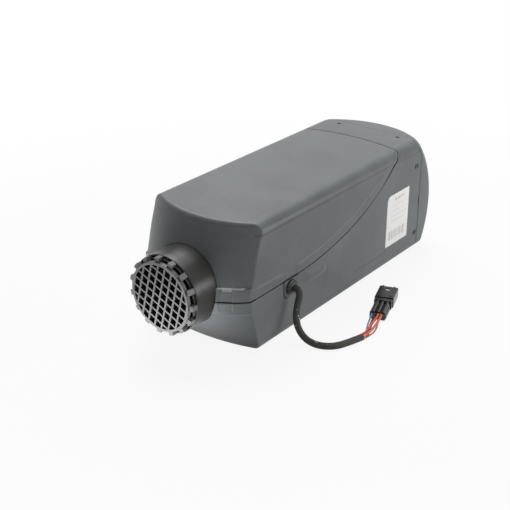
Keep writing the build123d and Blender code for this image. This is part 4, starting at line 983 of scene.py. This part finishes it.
right_arch = arch_grid()
arch = np.concatenate([right_arch, right_arch[-2::-1] * np.array([-1.0, 1.0, 1.0])])
arch_normals = outward_normals(arch, in_tail)
arch[:, 0] -= arch_normals[:, 0] * edge_soft
points = np.concatenate([flat_shell, arch.reshape(-1, 3)])
faces = list(quads) + halves + port_halves + foot_halves + list(cells_of(arch.shape[:2], len(flat_shell)))
# Painted shade, near black, round the edge of the ports, along the shell's top edge under the seam and at the
# arch's outer corners.
under_seam = shell[-1, shell[-1, :, 1] < shoulder_y + corner_gap]
arch_corners = arch[np.abs(arch[:, 0, 0]) > half_width - 1.0, 0]
make_piece("lower_shell_skin", points, faces, lower_plastic, "heater", "casing_plastic", ["lower_shell"],
           thickness=wall, crisp=75, centre=in_front_half,
           seam=np.concatenate([flat_shell[port_edge], under_seam, arch_corners]))

# %% [markdown]
# ## The domed tail and its intake
# The back end is drawn on rays from the rotor's axis. On every ray a profile runs along the wall, round the
# edge and over the dome to the middle. The parting line of the cap cuts all profiles at one place along the
# heater, and the curved intake slots fall on whole cells, because rays and rings are laid on their edges.

# %% rays and profiles of the tail
def section_distance(x, z):
    """Signed distance to the casing's section: a box with round shoulders above and round sills below."""
    radius = np.where(z > axis_z, shoulder, sill)
    up = np.abs(z - casing_low - casing_rise / 2) - casing_rise / 2 + radius
    return round_box(np.abs(x) - half_width + radius, up, radius)


def reach(angle, depth):
    """How far from the axis each ray meets the section drawn in by depth, found by halving."""
    shape = np.broadcast(angle, depth).shape
    low, high = np.zeros(shape), np.full(shape, 130.0)
    for _ in range(36):
        middle = (low + high) / 2
        inside = section_distance(middle * np.cos(angle), axis_z + middle * np.sin(angle)) < -depth
        low, high = np.where(inside, middle, low), np.where(inside, high, middle)
    return (low + high) / 2


# %% slots of the tail
ring_inner = 12.0 + 9.5 * np.arange(4)
slot_width, spoke_width, spoke_step = 6.0, 2.8, 30.0
spoke_half = np.degrees(spoke_width / (2 * ring_inner + slot_width))
upper_z, lower_z = (110.0, 115.0), (21.0, 26.0)
top_vent = {"x": (39.8, 44.2), "y": (148.5, 151.0), "z": (140.0, 143.0)}
side_vents = [{"x": (71.0, 73.0), "y": y_span, "z": z_span} for y_span, z_span in (
    ((145.1, 146.9), upper_z), ((149.3, 151.1), upper_z),
    ((150.1, 151.9), lower_z), ((154.3, 156.1), lower_z))]
notch = {"x": (71.0, 73.0), "y": (157.4, 158.3), "z": (59.0, 71.0)}

# %% rays that meet every edge
spoke_edges = spoke_step * np.arange(12)[:, None] + np.concatenate([spoke_half, -spoke_half])[None, :]
side_slot_z = np.unique([vent["z"] for vent in side_vents]) - axis_z
side_edges = np.degrees(np.arctan2(side_slot_z, half_width))
top_edges = np.degrees(np.arctan2(casing_top - axis_z, np.array(top_vent["x"])))
shoulder_edges = np.arctan2(arch_z[:len(ring_angle)] - axis_z, arch_x[:len(ring_angle)])
sill_edges = np.arctan2(casing_low + sill * (1 - np.cos(sill_angle)) - axis_z,
                        half_width - sill + sill * np.sin(sill_angle))
arc_edges = np.degrees(np.concatenate([shoulder_edges, sill_edges]))
right_edges = np.concatenate([side_edges, top_edges, arc_edges])
exact = np.unique(np.mod(np.concatenate([spoke_edges.ravel(), right_edges, 180 - right_edges]), 360).round(4))
even = spread(0, 360, 1.5)[:-1]
free = np.abs((even[:, None] - exact[None, :] + 180) % 360 - 180).min(1) > 0.5
rays = np.radians(np.sort(np.concatenate([exact, even[free]])))
print("rays of the tail:", len(rays))

# %% rim and dome of the tail
def edge_radius(angle):
    """Rounding of the tail's rim: larger on the side walls than at the top and the underside."""
    out, gap = reach(angle, 0.0), 0.01
    x, z = out * np.cos(angle), axis_z + out * np.sin(angle)
    lean = (section_distance(x + gap, z) - section_distance(x - gap, z)) / (2 * gap)
    return 4.5 + 4.5 * lean ** 2


rim = edge_radius(rays)


def face_y(angle, distance, depth):
    """The dome's place along the heater, less the rim's quarter circle where depth is under its radius."""
    x, z = distance * np.cos(angle), axis_z + distance * np.sin(angle)
    short = np.maximum(rim - depth, 0)
    return tail_y(x, z - casing_low) - (rim - np.sqrt(np.maximum(rim ** 2 - short ** 2, 0)))


def depth_at(place):
    """How far in from the rim each ray's profile passes a place; 0 where the wall itself reaches it."""
    low, high = np.zeros(len(rays)), np.full(len(rays), 25.0)
    for _ in range(36):
        middle = (low + high) / 2
        short = face_y(rays, reach(rays, middle), middle) < place
        low, high = np.where(short, middle, low), np.where(short, high, middle)
    return np.where(face_y(rays, reach(rays, 0.0), 0.0) >= place, 0.0, high)


def wall_rows(place, depth=0.0):
    """Rows of points on the wall, at places along the heater that may differ from ray to ray."""
    out = reach(rays, depth)
    return np.stack([np.broadcast_to(out * np.cos(rays), place.shape), place,
                     np.broadcast_to(axis_z + out * np.sin(rays), place.shape)], -1)


def rim_rows(depth):
    """Rows of points on the rim and the dome, at depths in from the section's outline."""
    out = reach(rays[None, :], depth)
    return np.stack([out * np.cos(rays), face_y(rays[None, :], out, depth), axis_z + out * np.sin(rays)], -1)


def closed(grid):
    """The grid with its first ray repeated at the end, which closes the ring."""
    return np.concatenate([grid, grid[:, :1]], 1)


# %% tail of the lower shell
wall_end = face_y(rays, reach(rays, 0.0), 0.0)
parting = cap_seam_y - cap_gap / 2
slot_places = np.unique([vent["y"] for vent in [top_vent] + side_vents])
tail_places = np.concatenate([[tail_start, 142.5], slot_places, [notch["y"][0], parting - 0.35, parting]])
tail_wall = wall_rows(np.minimum(tail_places[:, None], wall_end[None, :]))
tail_rim = rim_rows(depth_at(parting)[None, :] * np.linspace(0.15, 1, 6)[:, None])
tail_rim[..., 1] = np.minimum(tail_rim[..., 1], parting)
tail = closed(np.concatenate([tail_wall, tail_rim]))
tail_normals = outward_normals(tail, in_tail)


def parting_soft(row):
    """How far the edge at the cap's parting line is drawn in: less and less over the shoulders."""
    return edge_soft * (1 - step(row[:, 2:], 132.0, 139.0))


tail[-1] -= tail_normals[-1] * parting_soft(tail[-1])


def cell_middles(points, quads):
    """Centre of every cell."""
    return points[quads].mean(1)


def in_box(place, **spans):
    """True where each named coordinate lies in its span."""
    axes = {"x": np.abs(place[:, 0]), "y": place[:, 1], "z": place[:, 2]}
    return np.all([(axes[name] > low) & (axes[name] < high) for name, (low, high) in spans.items()], axis=0)


flat_tail, quads = tail.reshape(-1, 3), cells_of(tail.shape[:2])
middles = cell_middles(flat_tail, quads)
vents = in_box(middles, **notch) & (middles[:, 0] > 0)
for vent in [top_vent] + side_vents:
    vents |= in_box(middles, **vent)
print("cells left out for the vents:", int(vents.sum()))
# Painted shade, near black, along the cap's parting line on the sides and at the edges of the vent slots.
marked_below = 136.0    # the parting line is marked on the sides alone, not across the top
side_rows = tail[[len(tail_places) - 2, len(tail_places) - 1, -1]].reshape(-1, 3)
side_rows = side_rows[side_rows[:, 2] < marked_below]
vent_corners = flat_tail[quads[vents]][:, :2].reshape(-1, 3)
make_piece("shell_tail_skin", flat_tail, list(quads[~vents]), lower_plastic, "heater", "casing_plastic",
           thickness=wall, crisp=75, centre=in_rear_half, seam=np.concatenate([side_rows, vent_corners]))

# %% intake cap
cap_start = cap_seam_y + cap_gap / 2
start_depth = depth_at(cap_start)
cap_places = cap_start + np.array([0, 0.35, 2, 5])
cap_wall = wall_rows(np.maximum(cap_start, np.minimum(cap_places[:, None], wall_end[None, :])), start_depth)
rim_share = 1 - np.cos(np.radians(np.linspace(0, 90, 9)))
rim_depth = np.maximum(rim, start_depth + 0.5)
cap_rim = rim_rows(start_depth + (rim_depth - start_depth) * rim_share[:, None])
ring_places = np.sort(np.concatenate([ring_inner, ring_inner + slot_width]))[::-1]
field, hub_places, past_rim = 50.0, np.array([8.0, 4.0, 0.5]), 99.0
dome_distance = np.concatenate([field + (reach(rays, rim_depth) - field) * np.linspace(1, 0, 8)[1:, None],
                                np.repeat(ring_places[:, None], len(rays), 1),
                                np.repeat(hub_places[:, None], len(rays), 1)])
dome = np.stack([dome_distance * np.cos(rays), face_y(rays[None, :], dome_distance, past_rim),
                 axis_z + dome_distance * np.sin(rays)], -1)
cap = closed(np.concatenate([cap_wall, cap_rim, dome]))
cap_normals = outward_normals(cap, in_rear_half)
cap[0] -= cap_normals[0] * parting_soft(cap[0])

# %% intake slots in the cap
flat_cap, quads = cap.reshape(-1, 3), cells_of(cap.shape[:2])
middles = cell_middles(flat_cap, quads)
distance = np.hypot(middles[:, 0], middles[:, 2] - axis_z)
turn = np.degrees(np.arctan2(middles[:, 2] - axis_z, middles[:, 0]))
open_cells = np.zeros(len(quads), bool)
for ring, inner in enumerate(ring_inner):
    gap_angle = spoke_step if ring else 2 * spoke_step
    from_spoke = np.abs((turn + gap_angle / 2) % gap_angle - gap_angle / 2)
    open_cells |= (distance > inner) & (distance < inner + slot_width) & (from_spoke > spoke_half[ring])
# Painted shade, near black, along the parting line on the sides.
make_piece("intake_cap_skin", flat_cap, list(quads[~open_cells]), casing_plastic, "intake_cap",
           "casing_plastic", ["rear_intake_cap"], thickness=wall, crisp=60, centre=in_rear_half,
           seam=cap[0, cap[0, :, 2] < marked_below])
print("cells left out for the intake:", int(open_cells.sum()))

# %% [markdown]
# ## Tongues and saddles
# The shells overlap where they meet: a thin tongue on one slides inside the other; its near-black finish is
# painted shade, so it shows as a dark line in the seam. Two plates in the shell hold the collar's flange.
# With the cover off, all of them show openly.

# %% tongue of the shell
tongue_inset, tongue_wall, tongue_rear = wall + 0.3, 1.6, 88.0
over_seam = np.array([-4.0, -1.5, 1.0, 3.5])


def tongue_heights(y, level):
    """Rows at fixed distances from the seam, measured square to it."""
    return seam_at(y) + over_seam[:, None] * seam_stretch(y)


def tongue_leg(corner_y, end):
    """Leg columns, evenly spaced."""
    return col(corner_y) + col(end - corner_y) * spread(0, 1, 0.02)[1:]


each_row = np.ones(len(over_seam))
tongue = both_sides(u_grid((half_width - tongue_inset) * each_row, (seam_z - casing_low) * each_row,
                           tongue_inset * each_row, tongue_rear * each_row, np.linspace(0, 1, 24),
                           corner_share, tongue_leg, tongue_heights))
flat_tongue, quads, halves = cut_at_collar(tongue.reshape(-1, 3).copy(), cells_of(tongue.shape[:2]),
                                           inner_passage, True)
in_port = in_box(cell_middles(flat_tongue, quads), x=(60, 80), y=(port_y - 14.5, port_y + 14.5))
make_piece("shell_tongue", flat_tongue, list(quads[~in_port]) + halves, tongue_shade_plastic, "heater",
           "casing_plastic", thickness=tongue_wall, centre=in_front_half)

# %% tongue of the cap
tongue_places = np.array([152.5, 158.0, 163.0])
cap_tongue = wall_rows(np.minimum(tongue_places[:, None], wall_end[None, :] - 5.5), tongue_inset)
make_piece("cap_tongue", closed(cap_tongue).reshape(-1, 3), cells_of((len(tongue_places), len(rays) + 1)),
           tongue_shade_plastic, "intake_cap", "casing_plastic", thickness=tongue_wall, centre=in_rear_half)

# %% saddles
saddle_end, saddle_wall, saddle_margin = 15.6, 2.0, 6.0
saddle_angle = np.linspace(np.radians(180 + saddle_end), np.radians(360 - saddle_end), 60)
saddle_share = np.linspace(0, 1, 6)[:, None]
for saddle_y, name in ((-183.3, "front"), (-177.7, "rear")):
    far = inner_passage + (reach(saddle_angle, wall - 0.2) - inner_passage) * saddle_share
    level = np.minimum(axis_z + far * np.sin(saddle_angle), seam_z - saddle_margin)
    plate = np.stack([far * np.cos(saddle_angle), np.full(far.shape, saddle_y), level], -1)
    quads = cells_of(plate.shape[:2])
    middles = cell_middles(plate.reshape(-1, 3), quads)
    inside = nose_y(middles[:, 0], middles[:, 2]) < saddle_y - saddle_margin
    make_piece(f"collar_saddle_{name}", plate.reshape(-1, 3), quads[inside], lower_plastic, "heater",
               "casing_plastic", thickness=saddle_wall, centre=(0, -300, axis_z))

# %% [markdown]
# ## Outlet collar
# The collar is a ring: a straight end for the duct, and a root that widens to the flange. A profile of
# distance and place, carried round the axis, makes it, and small quarter circles round the mouth's edges.

# %% collar
def revolve(profile, count):
    """Carry a profile of (distance, y) round the heater's axis: x is distance times sine, z times cosine."""
    turn = np.linspace(0, 2 * np.pi, count + 1)[None, :]
    return np.stack([profile[:, :1] * np.sin(turn), np.repeat(profile[:, 1:], count + 1, 1),
                     axis_z + profile[:, :1] * np.cos(turn)], -1)


bore_r, mouth_y, mouth_round, collar_rear = 40.0, -222.0, 0.7, -172.0
quarter = np.radians(np.linspace(0, 90, 5))
lip_y = mouth_y + mouth_round - mouth_round * np.cos(quarter)
mouth_in = np.column_stack([bore_r + mouth_round - mouth_round * np.sin(quarter), lip_y])[::-1]
mouth_out = np.column_stack([collar_r - mouth_round + mouth_round * np.sin(quarter), lip_y])
outside = [(collar_r, -214.0), (collar_r, -208.0), (43.0, -194.0), (43.3, -181.2)]
flange = [(43.5, -181.0), (46.6, -181.0), (47.0, -180.6), (47.0, -178.4), (46.6, -178.0), (41.9, -178.0)]
root = [(41.7, -177.8), (41.7, -172.3), (41.4, collar_rear), (bore_r, collar_rear)]
collar_grid = revolve(np.vstack([[(bore_r, collar_rear)], mouth_in, mouth_out, outside, flange, root]), 160)
make_piece("outlet_collar_skin", collar_grid.reshape(-1, 3), cells_of(collar_grid.shape[:2]), collar_plastic,
           "heater", "collar_plastic", ["outlet_collar"], crisp=35)

# %% [markdown]
# ## Rating label
# A white label sits on the right side, its upper front corner rounded off. The sheet is a grid between the
# lower and the upper edge of its outline, so that the round corner needs no cutting.

# %% label
label_front, label_rear, label_low, label_high = 84.0, 133.0, 27.0, 92.0
label_corner, label_thick, label_out = 7.0, 0.12, 0.14


def label_sheet():
    """A grid between a level lower edge and an upper edge that falls in a quarter circle at the front."""
    along = spread(label_front, label_rear, 1.0)
    round_off = np.clip(label_corner - (along - label_front), 0, label_corner)
    high = label_high - label_corner + np.sqrt(label_corner ** 2 - round_off ** 2)
    share = spread(0, 1, 0.04)[:, None]
    z = label_low + (high - label_low) * share
    y = np.repeat(along[None, :], len(share), 0)
    return np.stack([np.full(z.shape, half_width + label_out), y, z], -1)


label = label_sheet()
make_piece("rating_label", label.reshape(-1, 3), cells_of(label.shape[:2]), label_paper, "heater",
           thickness=label_thick, centre=in_rear_half)

# %% [markdown]
# ## Floor, backdrop and light
# A studio table is white and seamless. Two large soft lamps overhead, one of them far to the left, give the
# pale top, and a weak one low on the right lights the long side more than its shoulder. A small glowing card
# lies on the table before the heater and looks up: it lights the lower front, which leans under, and leaves
# the upper front dark. The table is painted white for the camera and for reflections alone, and more so
# further out, so the backdrop is white without more light on the heater, and the shadow stays on the table.

# %% stage
def stage_plane(name, size, height):
    """A square with its middle under the heater."""
    corners = np.array([(-1, -1), (1, -1), (1, 1), (-1, 1)]) * size / 2
    mesh = bpy.data.meshes.new(name)
    mesh.from_pydata(np.column_stack([corners, np.full(4, height)]).tolist(), [], [(0, 1, 2, 3)])
    made = bpy.data.objects.new(name, mesh)
    bpy.context.scene.collection.objects.link(made)
    return made


paper = Finish("table_paper", Base_Color=grey(0.85), Roughness=0.9, Specular_IOR_Level=0.1)
outwards = paper.node("ShaderNodeVectorMath", {"operation": "LENGTH"}, {0: paper.place()}, out="Value")
white = paper.node("ShaderNodeEmission", {}, {"Color": (1, 1, 1, 1), "Strength": 1.0})
surface = paper.node("ShaderNodeMixShader", {}, {0: paper.seen() * paper.ramp(outwards, 0.3, 0.8, 0.90, 1.0),
                                                 1: Wire(paper, paper.shader.outputs[0]), 2: white})
paper.tree.links.new(surface.socket, paper.tree.nodes["Material Output"].inputs["Surface"])
stage_plane("table", 12.0, 0.0).data.materials.append(paper.material)
print("table laid")

# %% world and lamps
world = bpy.data.worlds.new("studio")
bpy.context.scene.world = world
world.use_nodes = True
sky = Shop(world.node_tree)
background = sky.tree.nodes["Background"]
background.inputs["Color"].default_value = (1, 1, 1, 1)
sky.tree.links.new(sky.ramp(sky.seen(), 0.0, 1.0, 0.06, 1.0).socket, background.inputs["Strength"])
bpy.context.scene.view_settings.view_transform = "Standard"
heater_middle = Vector((0, 0, 0.07))


def soft_lamp(name, place, size, power, heading=None):
    """A soft lamp: an ellipse, its size in metres, that looks at the heater or along a heading."""
    data = bpy.data.lights.new(name, "AREA")
    data.shape, data.size, data.size_y, data.energy = "ELLIPSE", size[0], size[1], power
    lamp = bpy.data.objects.new(name, data)
    bpy.context.scene.collection.objects.link(lamp)
    lamp.location = place
    towards = Vector(heading or heater_middle - Vector(place))
    lamp.rotation_euler = towards.to_track_quat("-Z", "Y").to_euler()
    lamp.visible_camera = False
    print(f"{name}: {power} W")


soft_lamp("lamp_overhead", (-0.35, 0.95, 2.6), (2.2, 2.2), 37.0)
soft_lamp("lamp_left", (-1.3, 0.9, 2.3), (2.0, 2.0), 39.0)
soft_lamp("lamp_right", (1.7, 0.75, 0.3), (1.5, 0.6), 15.0)
soft_lamp("card_front", (0.0, -0.29, 0.002), (0.19, 0.14), 0.3, (0, 0, 1))
